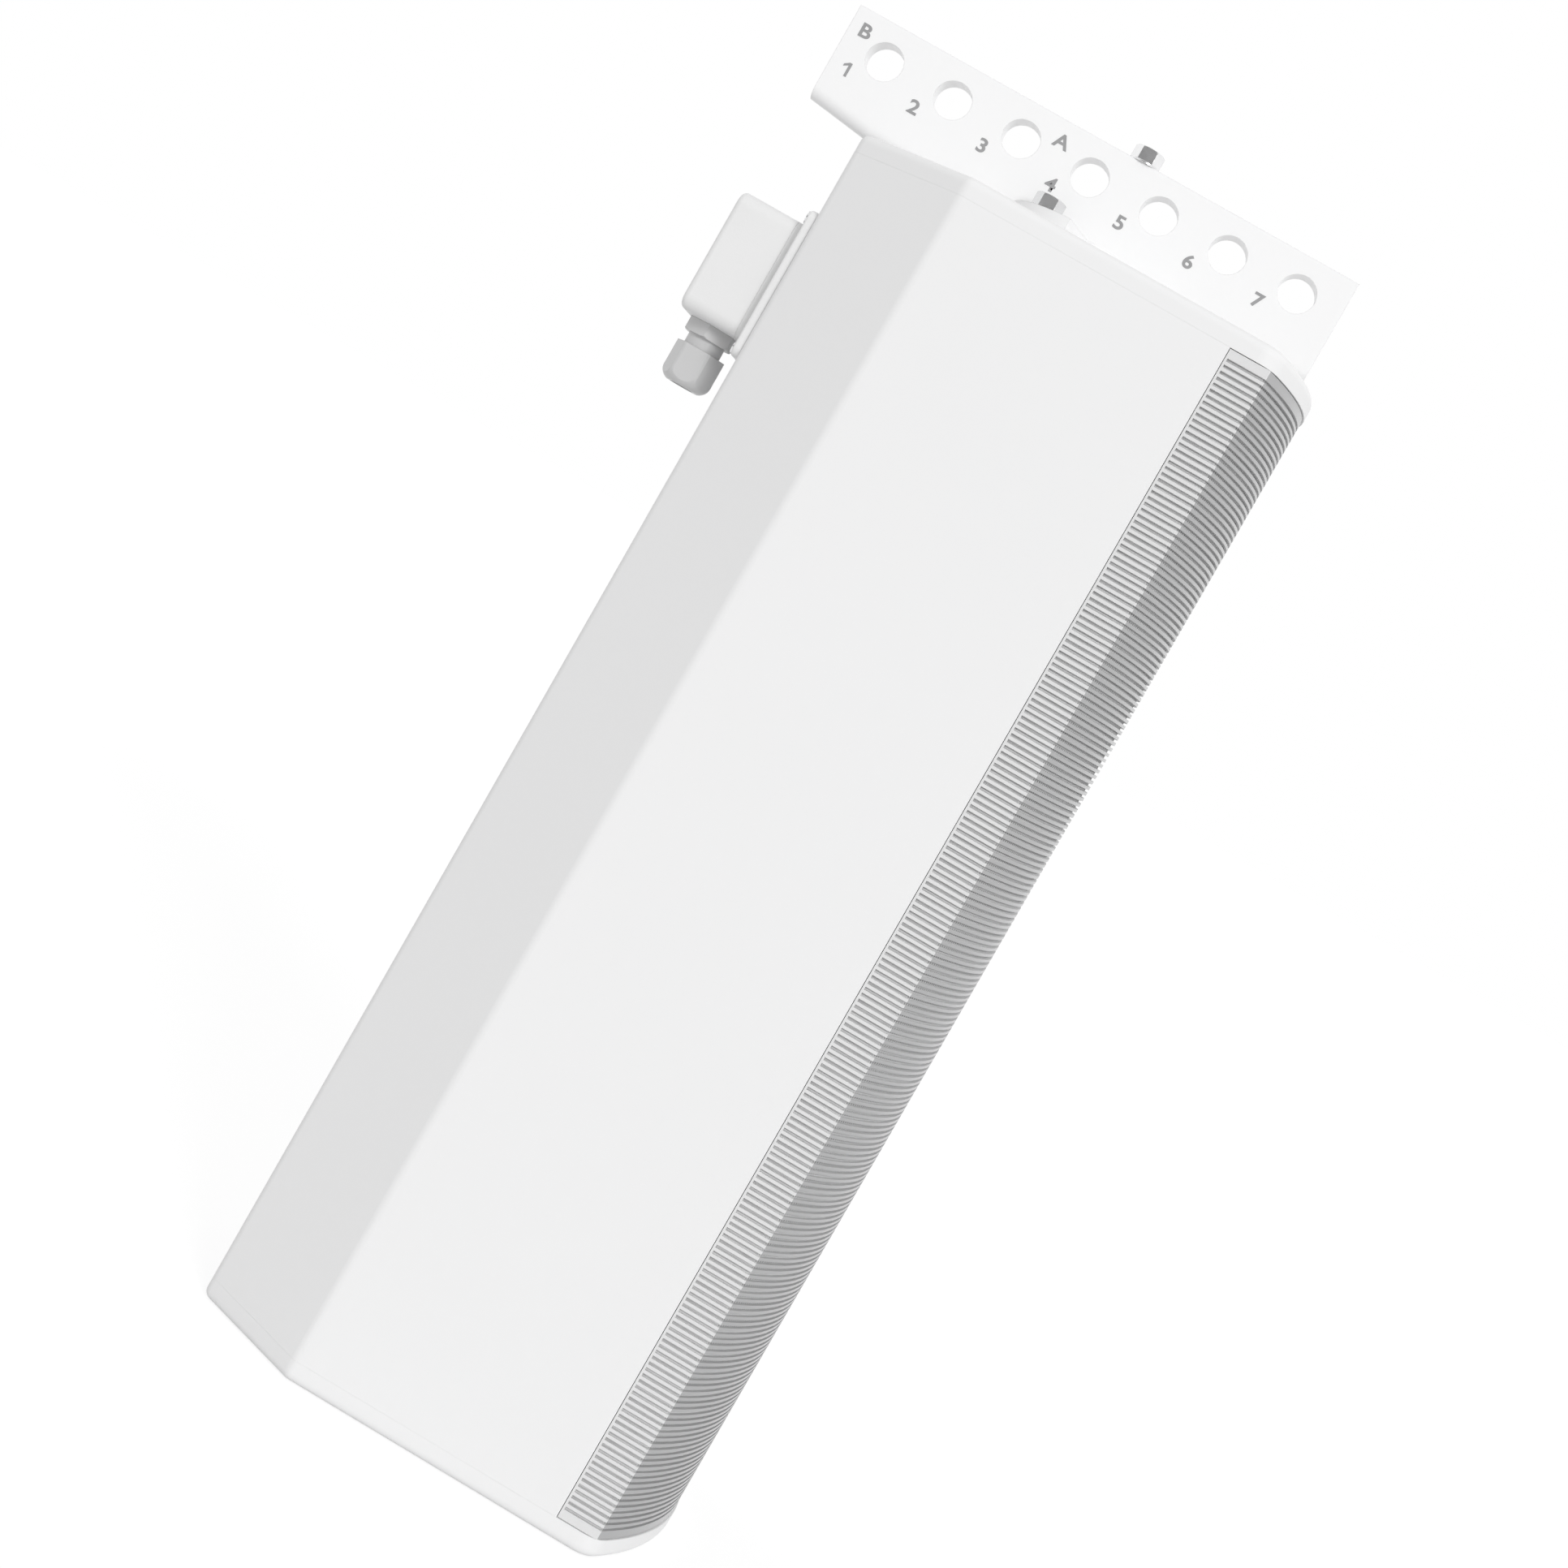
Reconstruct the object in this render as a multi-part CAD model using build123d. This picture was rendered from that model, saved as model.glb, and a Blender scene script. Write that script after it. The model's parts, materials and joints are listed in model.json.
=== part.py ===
"""A tall loudspeaker cabinet hung from a rigging bar, in millimetres.

Frame: the origin is on the bottom face at the middle of the cabinet, +Z is up, the bowed
grille faces -Y and the cable box is on the rear, at +Y.
"""

from build123d import *
import os
from math import atan2, cos, degrees, hypot, pi, sin, sqrt

# Cabinet
CABINET_HEIGHT = 660.0
CABINET_WIDTH = 200.0
CABINET_DEPTH = 257.0
FRONT_RADIUS = 200.0
REAR_WIDTH = 116.0
BEVEL_DEPTH = 62.0
REAR_CORNER = 7.0
SHELL_WALL = 4.0
FIT = 0.3
HEAD_CLEARANCE = 0.15
THREAD_CLEARANCE = 0.1

# Caps
CAP_THICKNESS = 10.7
CAP_FRONT_CORNER = 14.0
CAP_EDGE = 4.5
RIM_DEPTH = 12.0
RIM_WALL = 4.0
RIM_GAP = 0.8
SEAL_HEIGHT = 4.0
SEAL_THICKNESS = 0.6

# Cap screws and the bosses that take them
CAP_SCREW_RADIUS = 2.5
CAP_SCREW_HEAD = 4.6
CAP_SCREW_GRIP = 20.0
BOSS_RADIUS = 6.5
BOSS_BITE = 0.6

# Grille, its ribs and cloth
GRILLE_SETBACK = 0.8
GRILLE_SHEET = 1.6
GRILLE_RETURN = 21.8
GRILLE_POST = 1.2
GRILLE_BAND = 4.4
SLOT_PITCH = 3.216
SLOT_HEIGHT = 1.6
RIB_COUNT = 5
RIB_SPACING = 30.0
RIB_WIDTH = 3.0
RIB_DEPTH = 4.0
CLOTH_THICKNESS = 0.8
CLOTH_GAP = 0.1

# Baffle
BAFFLE_THICKNESS = 12.0
BAFFLE_SETBACK = 4.0
LEDGE_WIDTH = 14.0
LEDGE_THICKNESS = 4.0
BAFFLE_SCREW_RADIUS = 2.0
BAFFLE_SCREW_HEAD = 4.0
BAFFLE_SCREW_HEAD_HEIGHT = 2.4
BAFFLE_SCREW_MARGIN = 18.0

# Woofers, one above the other
WOOFER_COUNT = 3
WOOFER_PITCH = 204.0
WOOFER_FLANGE_RADIUS = 75.0
WOOFER_FLANGE = 3.0
WOOFER_SEAT_RADIUS = 61.0
BASKET_WALL = 2.0
BASKET_DEPTH = 42.0
BASKET_WINDOWS = 4
BASKET_WINDOW_SHARE = 0.62
BASKET_WINDOW_TURN = 45.0
WINDOW_RIM = 10.5
WINDOW_FOOT = 6.3
MAGNET_RADIUS = 40.0
MAGNET_THICKNESS = 18.0
POLE_PLATE_RADIUS = 36.0
POLE_PLATE_THICKNESS = 5.0
COIL_RADIUS = 12.5
COIL_GAP = 1.0
COIL_DEPTH = 12.0
CONE_RADIUS = 51.0
CONE_DEPTH = 22.0
CONE_PAPER = 1.2
DUST_CAP_HEIGHT = 6.0
DUST_CAP_RADIUS = 20.0
SURROUND_ROLL = 4.0
SURROUND_SKIN = 1.2

# Tweeters, in the gaps between the woofers
TWEETER_PLATE_RADIUS = 26.0
TWEETER_PLATE = 3.0
TWEETER_DOME_RADIUS = 13.0
TWEETER_DOME_HEIGHT = 5.0
TWEETER_CUP_RADIUS = 21.0
TWEETER_CUP_DEPTH = 24.0

# Crossover
BOARD_WIDTH = 90.0
BOARD_HEIGHT = 150.0
BOARD_THICKNESS = 1.6
BOARD_LOW = 60.0
STANDOFF_RADIUS = 3.5
STANDOFF_LENGTH = 8.0
STANDOFF_INSET = 6.0
COIL_OUTER = 19.0
COIL_INNER = 9.0
COIL_HEIGHT = 18.0
COIL_SPACING = 44.0
COILS_UP = 102.0
CAPACITOR_RADIUS = 8.0
CAPACITOR_LENGTH = 32.0
CAPACITOR_COUNT = 3
CAPACITOR_SPACING = 22.0
CAPACITORS_UP = 30.0

# Damping foam on the rear wall
FOAM_THICKNESS = 20.0
FOAM_SIDE_GAP = 1.5
FOAM_LOW = 240.0
FOAM_HIGH = 500.0

# Rigging bar
BAR_THICKNESS = 14.0
BAR_HEIGHT = 57.3
BAR_LENGTH = 289.6
BAR_OVERHANG = 43.0
BAR_EDGE_RADIUS = 6.5
BAR_REAR_RISE = 4.5
BAR_REAR_SLOPE = 34.0
HOLE_RADIUS = 10.0
HOLE_PITCH = 40.0
HOLE_COUNT = 7
FIRST_HOLE_INSET = 24.9
HOLE_DROP = 19.5

# Swivel under the bar
PIVOT_HOLES = 3.5
STUD_RADIUS = 4.76
STUD_RUNNING = 0.05
STUD_HOLE_CLEARANCE = 0.25
SWIVEL_BOSS_RADIUS = 17.0
FOOT_THICKNESS = 8.4
FOOT_RADIUS = 48.0
FOOT_HALF_ANGLE = 36.0
LOCK_X = -22.0
LOCK_BEHIND_PIVOT = 29.5
SLOT_CLEARANCE = 0.5
SWIVEL_HALF_RANGE = 8.0
NUT_FLATS = 14.3
NUT_HEIGHT = 7.4
NUT_EASE = 1.0
WASHER_RADIUS = 8.8
WASHER_THICKNESS = 1.0

# Plates that clamp the top cap
PLATE_WIDTH = 84.0
PLATE_AHEAD_OF_PIVOT = 65.0
PLATE_BEHIND_PIVOT = 71.0
PLATE_CORNER = 8.0
BASE_PLATE_THICKNESS = 6.0
INNER_PLATE_THICKNESS = 6.0
PLATE_BOLT_RADIUS = 4.0
PLATE_BOLT_INSET = 12.0
PLATE_BOLT_HEAD_RADIUS = 8.0
PLATE_BOLT_HEAD_HEIGHT = 4.0
PLATE_NUT_FLATS = 13.0
PLATE_NUT_HEIGHT = 6.8

# Junction box
JUNCTION_DROP = 44.7
UPPER_EAR = 7.1
LOWER_EAR = 9.3
JUNCTION_WIDTH = 110.0
JUNCTION_PLATE = 4.5
JUNCTION_EDGE = 1.2
JUNCTION_CORNER = 5.0
HOOD_HEIGHT = 65.3
HOOD_WIDTH = 94.0
HOOD_CORNER = 7.0
HOOD_RIM = 4.0
HOOD_DEPTH = 32.0
HOOD_WALL = 3.0
HOOD_EDGE = 3.0
HOOD_SEAL = 1.5
LEAD_HOLE_RADIUS = 11.0
LEAD_HOLE_DROP = 17.0
HOOD_SCREW_RADIUS = 2.0
HOOD_SCREW_HEAD = 3.6
HOOD_SCREW_INSET = 7.5
HOOD_POST_RADIUS = 4.2
HOOD_SCREW_BITE = 5.0
PLATE_SCREW_RADIUS = 2.0
PLATE_SCREW_HEAD = 3.5
PLATE_SCREW_HEAD_HEIGHT = 2.2
PLATE_SCREW_SPACING = 84.0

# Cable gland under the hood
GLAND_X = -20.0
GLAND_BEHIND_PLATE = 19.2
GLAND_THREAD_RADIUS = 10.0
GLAND_BORE_RADIUS = 6.5
GLAND_FLATS = 24.0
GLAND_FLANGE = 7.3
GLAND_NECK = 5.9
GLAND_EASE = 1.2
DOME_HEIGHT = 20.2
DOME_STRAIGHT = 12.8
DOME_CORNER_RADIUS = 13.4
DOME_TIP_RADIUS = 9.0
DOME_CROWN = 1.1
DOME_SHOULDER = 4.0
GLAND_TAIL = 10.0
LOCKNUT_FLATS = 24.0
LOCKNUT_HEIGHT = 5.0
SLEEVE_RADIUS = 8.5
SLEEVE_LENGTH = 9.0
SEAL_BORE_RADIUS = 5.5

# Terminal block
TERMINAL_WIDTH = 48.0
TERMINAL_HEIGHT = 18.0
TERMINAL_DEPTH = 14.0
TERMINAL_DROP = 11.0
TERMINAL_WAYS = 4
TERMINAL_NOTCH_DEPTH = 5.6
TERMINAL_NOTCH_WIDTH = 1.2
TERMINAL_SCREW_RADIUS = 3.0
TERMINAL_SCREW_HEIGHT = 1.0

# Hexagon sockets in the screw heads, as shares of each shank
SOCKET_ACROSS = 0.62
SOCKET_DEEP = 0.6

UP = (0, 0, 1)
DOWN = (0, 0, -1)
FORWARD = (0, -1, 0)
BACK = (0, 1, 0)

# Places worked out from the sizes above
HALF_WIDTH = CABINET_WIDTH / 2
FRONT_Y = -CABINET_DEPTH / 2
REAR_Y = CABINET_DEPTH / 2
CREASE_Y = FRONT_Y + FRONT_RADIUS - sqrt(FRONT_RADIUS**2 - HALF_WIDTH**2)
GRILLE_REAR_Y = CREASE_Y + GRILLE_RETURN
CLOTH_INSET = GRILLE_SETBACK + GRILLE_SHEET + CLOTH_GAP
SHELL_LOW = CAP_THICKNESS
SHELL_HIGH = CABINET_HEIGHT - CAP_THICKNESS
INNER_LOW = SHELL_LOW + RIM_DEPTH + FIT
INNER_HIGH = SHELL_HIGH - RIM_DEPTH - FIT
INNER_HALF_WIDTH = HALF_WIDTH - SHELL_WALL
REAR_WALL_Y = REAR_Y - SHELL_WALL
BAFFLE_FRONT_Y = GRILLE_REAR_Y + BAFFLE_SETBACK
BAFFLE_REAR_Y = BAFFLE_FRONT_Y + BAFFLE_THICKNESS
BEVEL_LENGTH = hypot(BEVEL_DEPTH, HALF_WIDTH - REAR_WIDTH / 2)
MIDDLE = CABINET_HEIGHT / 2
WOOFER_HEIGHTS = [MIDDLE + WOOFER_PITCH * (i - (WOOFER_COUNT - 1) / 2) for i in range(WOOFER_COUNT)]
TWEETER_HEIGHTS = [(low + high) / 2 for low, high in zip(WOOFER_HEIGHTS, WOOFER_HEIGHTS[1:])]
BAR_LOW = CABINET_HEIGHT + BASE_PLATE_THICKNESS
BAR_HIGH = BAR_LOW + BAR_HEIGHT
BAR_REAR = REAR_Y + BAR_OVERHANG
BAR_FRONT = BAR_REAR - BAR_LENGTH
HOLE_Z = BAR_HIGH - HOLE_DROP
HOLES_Y = [BAR_REAR - FIRST_HOLE_INSET - HOLE_PITCH * i for i in range(HOLE_COUNT)]
PIVOT_Y = HOLES_Y[0] - HOLE_PITCH * PIVOT_HOLES
FOOT_TOP = BAR_LOW + FOOT_THICKNESS
LOCK_Y = PIVOT_Y + LOCK_BEHIND_PIVOT
LOCK_RADIUS = hypot(LOCK_X, LOCK_BEHIND_PIVOT)
LOCK_ANGLE = degrees(atan2(LOCK_BEHIND_PIVOT, LOCK_X))
PLATE_FRONT = PIVOT_Y - PLATE_AHEAD_OF_PIVOT
PLATE_REAR = PIVOT_Y + PLATE_BEHIND_PIVOT
HOOD_LOW = CABINET_HEIGHT - JUNCTION_DROP - UPPER_EAR - HOOD_HEIGHT
LEAD_HOLE_Z = HOOD_LOW + HOOD_HEIGHT / 2 - LEAD_HOLE_DROP
JUNCTION_LOW = HOOD_LOW - LOWER_EAR
JUNCTION_HEIGHT = UPPER_EAR + HOOD_HEIGHT + LOWER_EAR
RIM_Y = REAR_Y + JUNCTION_PLATE
HOOD_Y = RIM_Y + HOOD_RIM
HOOD_REAR_Y = HOOD_Y + HOOD_DEPTH
GLAND_Y = RIM_Y + GLAND_BEHIND_PLATE
TERMINAL_LOW = HOOD_LOW + HOOD_HEIGHT - TERMINAL_DROP - TERMINAL_HEIGHT


def rod(radius, length, start, direction=UP):
    """A round bar that starts at a point and runs along a direction."""
    place = Plane(origin=start, z_dir=direction)
    return place * Cylinder(radius, length, align=(Align.CENTER, Align.CENTER, Align.MIN))


def taper(start_radius, end_radius, length, start, direction=UP):
    """A cone cut off at both ends."""
    place = Plane(origin=start, z_dir=direction)
    return place * Cone(start_radius, end_radius, length, align=(Align.CENTER, Align.CENTER, Align.MIN))


def turned(points, place):
    """A solid turned about the local Z axis from (radius, height) points."""
    return place * revolve(Plane.XZ * make_face(Polyline(*points, close=True)), Axis.Z)


def hexagon(flats, length, start, direction=UP, turn=0):
    """A hexagonal bar, measured across its flats. At a turn of 0 its flats face -Y and +Y."""
    place = Plane(origin=start, x_dir=(1, 0, 0), z_dir=direction)
    return extrude(place * RegularPolygon(flats / 2, 6, major_radius=False, rotation=turn), length)


def block(low, high):
    """A box between two opposite corners."""
    size = [b - a for a, b in zip(low, high)]
    centre = [(a + b) / 2 for a, b in zip(low, high)]
    return Pos(*centre) * Box(*size)


def nut_blank(flats, height, ease, start, direction=UP, turn=0):
    """A hexagonal bar whose corners are turned down at its far face."""
    corner = flats / 2 / cos(pi / 6)
    points = [(0, 0), (corner, 0), (corner, height - ease / 2), (corner - ease, height), (0, height)]
    body = turned(points, Plane(origin=start, z_dir=direction))
    return hexagon(flats, height, start, direction, turn) & body


def socket(shank_radius, face, inwards):
    """The hexagon socket in a screw's head, from the head's face inwards."""
    return hexagon(2 * shank_radius * SOCKET_ACROSS, shank_radius * SOCKET_DEEP, face, inwards)


def all_of(shapes):
    """Separate solids kept together in one node."""
    return Compound(children=list(shapes))


def outline(inset=0.0):
    """The cabinet's plan, set in by a distance: a bowed front, straight sides and bevelled rear corners."""
    bevel_y = REAR_Y - BEVEL_DEPTH
    half_rear = REAR_WIDTH / 2
    bow = ThreePointArc((HALF_WIDTH, CREASE_Y), (0, FRONT_Y), (-HALF_WIDTH, CREASE_Y))
    back = Polyline(
        (-HALF_WIDTH, CREASE_Y),
        (-HALF_WIDTH, bevel_y),
        (-half_rear, REAR_Y),
        (half_rear, REAR_Y),
        (HALF_WIDTH, bevel_y),
        (HALF_WIDTH, CREASE_Y),
    )
    face = make_face(bow + back)
    if inset:
        face = offset(face, -inset, kind=Kind.INTERSECTION)
    if inset < REAR_CORNER:
        corners = [v for v in face.vertices() if v.Y > 0]
        face = fillet(corners, REAR_CORNER - inset)
    return face


def band(inset, width):
    """A closed band of the plan, set in by a distance."""
    return outline(inset) - outline(inset + width)


def ahead_of(y):
    """A large rectangle that covers the plan in front of a line across it."""
    return Pos(0, y - CABINET_DEPTH) * Rectangle(2 * CABINET_WIDTH, 2 * CABINET_DEPTH)


def behind(y):
    """A large rectangle that covers the plan behind a line across it."""
    return Pos(0, y + CABINET_DEPTH) * Rectangle(2 * CABINET_WIDTH, 2 * CABINET_DEPTH)


def slab(face, low, high):
    """A plan raised between two heights."""
    return extrude(Pos(0, 0, low) * face, high - low)


def cap_screw_places():
    """The four bosses, let into the walls: two behind the baffle's ledges and two in the rear corners."""
    inset = SHELL_WALL + BOSS_RADIUS - BOSS_BITE
    side = HALF_WIDTH - inset
    front = BAFFLE_REAR_Y + LEDGE_THICKNESS + BOSS_RADIUS / 2
    bevel_run = HALF_WIDTH - REAR_WIDTH / 2
    corner = REAR_WIDTH / 2 - inset * (BEVEL_LENGTH - bevel_run) / BEVEL_DEPTH
    rear = REAR_Y - inset
    return [(x * sign, y) for x, y in ((side, front), (corner, rear)) for sign in (-1, 1)]


def baffle_screw_places():
    """Screws at both ends of the baffle and level with each tweeter, as (x, z)."""
    x = INNER_HALF_WIDTH - LEDGE_WIDTH + BAFFLE_SCREW_HEAD
    heights = [INNER_LOW + BAFFLE_SCREW_MARGIN, *TWEETER_HEIGHTS, INNER_HIGH - BAFFLE_SCREW_MARGIN]
    return [(sign * x, z) for z in heights for sign in (-1, 1)]


def plate_bolt_places():
    """The four bolts that clamp the top cap between the rigging plates."""
    x = PLATE_WIDTH / 2 - PLATE_BOLT_INSET
    ends = (PLATE_FRONT + PLATE_BOLT_INSET, PLATE_REAR - PLATE_BOLT_INSET)
    return [(sign * x, y) for y in ends for sign in (-1, 1)]


def junction_screw_places():
    """The four screws in the ears above and below the hood, as (x, z)."""
    lower = (JUNCTION_LOW + HOOD_LOW) / 2
    upper = (JUNCTION_LOW + JUNCTION_HEIGHT + HOOD_LOW + HOOD_HEIGHT) / 2
    heights = (lower, upper)
    return [(sign * PLATE_SCREW_SPACING / 2, z) for z in heights for sign in (-1, 1)]


def hood_screw_places():
    """The four long screws in the hood's corners, as (x, z)."""
    x = HOOD_WIDTH / 2 - HOOD_SCREW_INSET
    heights = (HOOD_LOW + HOOD_SCREW_INSET, HOOD_LOW + HOOD_HEIGHT - HOOD_SCREW_INSET)
    return [(sign * x, z) for z in heights for sign in (-1, 1)]


# Cabinet


def cabinet_shell():
    """The extruded shell, open at the front, with ledges for the baffle and screw bosses."""
    wall = band(0, SHELL_WALL) & behind(GRILLE_REAR_Y + FIT)
    shell = slab(wall, SHELL_LOW, SHELL_HIGH)
    ledge_rear = BAFFLE_REAR_Y + LEDGE_THICKNESS
    for sign in (-1, 1):
        inner, outer = sorted((sign * (INNER_HALF_WIDTH - LEDGE_WIDTH), sign * (INNER_HALF_WIDTH + FIT)))
        shell += block((inner, BAFFLE_REAR_Y, INNER_LOW), (outer, ledge_rear, INNER_HIGH))
    for x, y in cap_screw_places():
        shell += rod(BOSS_RADIUS, INNER_HIGH - INNER_LOW, (x, y, INNER_LOW))
    for x, y in cap_screw_places():
        shell -= rod(CAP_SCREW_RADIUS, SHELL_HIGH - SHELL_LOW, (x, y, SHELL_LOW))
    for x, z in baffle_screw_places():
        shell -= rod(BAFFLE_SCREW_RADIUS, LEDGE_THICKNESS, (x, BAFFLE_REAR_Y, z), BACK)
    shell -= rod(LEAD_HOLE_RADIUS, SHELL_WALL, (0, REAR_WALL_Y, LEAD_HOLE_Z), BACK)
    for x, z in junction_screw_places():
        shell -= rod(PLATE_SCREW_RADIUS, SHELL_WALL, (x, REAR_WALL_Y, z), BACK)
    return shell


def cap_plate():
    """The cap's plate: the plan with its two front corners eased and its outer edge rounded."""
    face = outline()
    plate = slab(fillet(face.vertices().sort_by(Axis.Y)[:2], CAP_FRONT_CORNER), SHELL_HIGH, CABINET_HEIGHT)
    return fillet(plate.faces().sort_by(Axis.Z)[-1].edges(), CAP_EDGE)


def cap(rigged):
    """An end cap, drawn as the top one: a plate with a rim that plugs into the shell and grille."""
    inset = CLOTH_INSET + CLOTH_THICKNESS + FIT
    front = band(inset, RIM_WALL) & ahead_of(GRILLE_REAR_Y - FIT)
    rear = band(SHELL_WALL + RIM_GAP, RIM_WALL) & behind(GRILLE_REAR_Y - RIM_WALL)
    rim = slab(front + rear, SHELL_HIGH - RIM_DEPTH, SHELL_HIGH)
    for x, y in cap_screw_places():
        rim += rod(BOSS_RADIUS - BOSS_BITE - RIM_GAP, RIM_DEPTH, (x, y, SHELL_HIGH - RIM_DEPTH))
    body = cap_plate() + rim
    for x, y in cap_screw_places():
        body -= rod(CAP_SCREW_RADIUS + FIT, RIM_DEPTH + CAP_THICKNESS, (x, y, SHELL_HIGH - RIM_DEPTH))
        body -= cap_screw_head(x, y, HEAD_CLEARANCE)
    if rigged:
        for x, y in plate_bolt_places():
            body -= rod(PLATE_BOLT_RADIUS + FIT, CAP_THICKNESS, (x, y, SHELL_HIGH))
        body -= rod(STUD_RADIUS + STUD_HOLE_CLEARANCE, CAP_THICKNESS, (0, PIVOT_Y, SHELL_HIGH))
    return body


def upside_down(shape):
    """Turns what is drawn at the top over to the bottom."""
    return mirror(shape, Plane(origin=(0, 0, MIDDLE), z_dir=UP))


def cap_screw_head(x, y, ease=0.0):
    """The countersunk head of a cap screw, flush with the cap's top."""
    height = CAP_SCREW_HEAD - CAP_SCREW_RADIUS
    return taper(CAP_SCREW_RADIUS + ease, CAP_SCREW_HEAD + ease, height, (x, y, CABINET_HEIGHT - height))


def cap_screws():
    """Four long countersunk screws at each end."""
    top = []
    length = CAP_THICKNESS + RIM_DEPTH + CAP_SCREW_GRIP
    for x, y in cap_screw_places():
        shank = rod(CAP_SCREW_RADIUS - STUD_RUNNING, length, (x, y, CABINET_HEIGHT - length))
        top.append(shank + cap_screw_head(x, y) - socket(CAP_SCREW_RADIUS, (x, y, CABINET_HEIGHT), DOWN))
    return all_of(top + [upside_down(screw) for screw in top])


def cap_gaskets():
    """A thin seal round each rim, against the inside of the shell."""
    gap = (RIM_GAP - SEAL_THICKNESS) / 2
    ring = band(SHELL_WALL + gap, SEAL_THICKNESS)
    middle = SHELL_HIGH - RIM_DEPTH / 2
    top = slab(ring & behind(GRILLE_REAR_Y + 2 * FIT), middle - SEAL_HEIGHT / 2, middle + SEAL_HEIGHT / 2)
    return all_of([top, upside_down(top)])


# Front


def front_grille():
    """One bent sheet whose slots run round both creases from post to post."""
    low, high = SHELL_LOW + FIT, SHELL_HIGH - FIT
    sheet = slab(band(GRILLE_SETBACK, GRILLE_SHEET) & ahead_of(GRILLE_REAR_Y), low, high)
    rows = int((high - low - 2 * GRILLE_BAND - SLOT_HEIGHT) / SLOT_PITCH) + 1
    first = (low + high - SLOT_PITCH * (rows - 1)) / 2
    slot = Box(CABINET_WIDTH, CABINET_DEPTH, SLOT_HEIGHT)
    y = GRILLE_REAR_Y - GRILLE_POST - CABINET_DEPTH / 2
    return sheet - [Pos(0, y, first + SLOT_PITCH * i) * slot for i in range(rows)]


def bow_y(x, inset=0.0):
    """Where the bowed front, or a curve inside it, lies at a distance from the middle."""
    return FRONT_Y + FRONT_RADIUS - sqrt((FRONT_RADIUS - inset) ** 2 - x**2)


def grille_ribs():
    """Upright ribs that press the cloth to the slotted sheet and stiffen it from behind."""
    ribs = []
    half = RIB_WIDTH / 2
    for i in range(RIB_COUNT):
        x = RIB_SPACING * (i - (RIB_COUNT - 1) / 2)
        front = bow_y(abs(x) + half, CLOTH_INSET + CLOTH_THICKNESS) + CLOTH_GAP
        ribs.append(block((x - half, front, INNER_LOW), (x + half, front + RIB_DEPTH, INNER_HIGH)))
    return all_of(ribs)


def grille_cloth():
    """The dust cloth that lines the whole sheet from behind."""
    lining = band(CLOTH_INSET, CLOTH_THICKNESS) & ahead_of(GRILLE_REAR_Y)
    return slab(lining, SHELL_LOW + FIT, SHELL_HIGH - FIT)


def baffle():
    """The board that carries the drivers."""
    half = INNER_HALF_WIDTH - FIT
    board = block((-half, BAFFLE_FRONT_Y, INNER_LOW), (half, BAFFLE_REAR_Y, INNER_HIGH))
    for z in WOOFER_HEIGHTS:
        board -= rod(WOOFER_SEAT_RADIUS + FIT, BAFFLE_THICKNESS, (0, BAFFLE_FRONT_Y, z), BACK)
    for z in TWEETER_HEIGHTS:
        board -= rod(TWEETER_CUP_RADIUS + FIT, BAFFLE_THICKNESS, (0, BAFFLE_FRONT_Y, z), BACK)
    for x, z in baffle_screw_places():
        board -= rod(BAFFLE_SCREW_RADIUS + FIT, BAFFLE_THICKNESS, (x, BAFFLE_FRONT_Y, z), BACK)
    return board


def baffle_screws():
    """Screws through the baffle into the shell's ledges."""
    screws = []
    for x, z in baffle_screw_places():
        head = rod(BAFFLE_SCREW_HEAD, BAFFLE_SCREW_HEAD_HEIGHT, (x, BAFFLE_FRONT_Y, z), FORWARD)
        length = BAFFLE_THICKNESS + LEDGE_THICKNESS
        shank = rod(BAFFLE_SCREW_RADIUS - STUD_RUNNING, length, (x, BAFFLE_FRONT_Y, z), BACK)
        top = (x, BAFFLE_FRONT_Y - BAFFLE_SCREW_HEAD_HEIGHT, z)
        screws.append(head + shank - socket(BAFFLE_SCREW_RADIUS, top, BACK))
    return all_of(screws)


# Drivers. Each is turned about an axis that runs back from the baffle's front face.


def driver_place(z):
    """The driver's own frame: its local Z runs back into the cabinet."""
    return Plane(origin=(0, BAFFLE_FRONT_Y, z), x_dir=(1, 0, 0), z_dir=BACK)


def woofer_basket(z):
    """A pressed basket: a flange on the baffle and a windowed cone down to the magnet."""
    seat, neck = WOOFER_SEAT_RADIUS, POLE_PLATE_RADIUS
    points = [
        (CONE_RADIUS + SURROUND_ROLL, -WOOFER_FLANGE),
        (WOOFER_FLANGE_RADIUS, -WOOFER_FLANGE),
        (WOOFER_FLANGE_RADIUS, 0),
        (seat, 0),
        (neck, BASKET_DEPTH),
        (COIL_RADIUS + COIL_GAP, BASKET_DEPTH),
        (COIL_RADIUS + COIL_GAP, BASKET_DEPTH - BASKET_WALL),
        (neck - BASKET_WALL, BASKET_DEPTH - BASKET_WALL),
        (seat - BASKET_WALL, 0),
        (CONE_RADIUS + SURROUND_ROLL, 0),
    ]
    basket = turned(points, Plane.XY)
    width = (seat + neck) * sin(pi / BASKET_WINDOWS * BASKET_WINDOW_SHARE)
    low, high = WINDOW_RIM, BASKET_DEPTH - WINDOW_FOOT
    for i in range(BASKET_WINDOWS // 2):
        window = Pos(0, 0, (low + high) / 2) * Box(4 * seat, width, high - low)
        basket -= Rot(0, 0, BASKET_WINDOW_TURN + 360 / BASKET_WINDOWS * i) * window
    return driver_place(z) * basket


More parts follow.
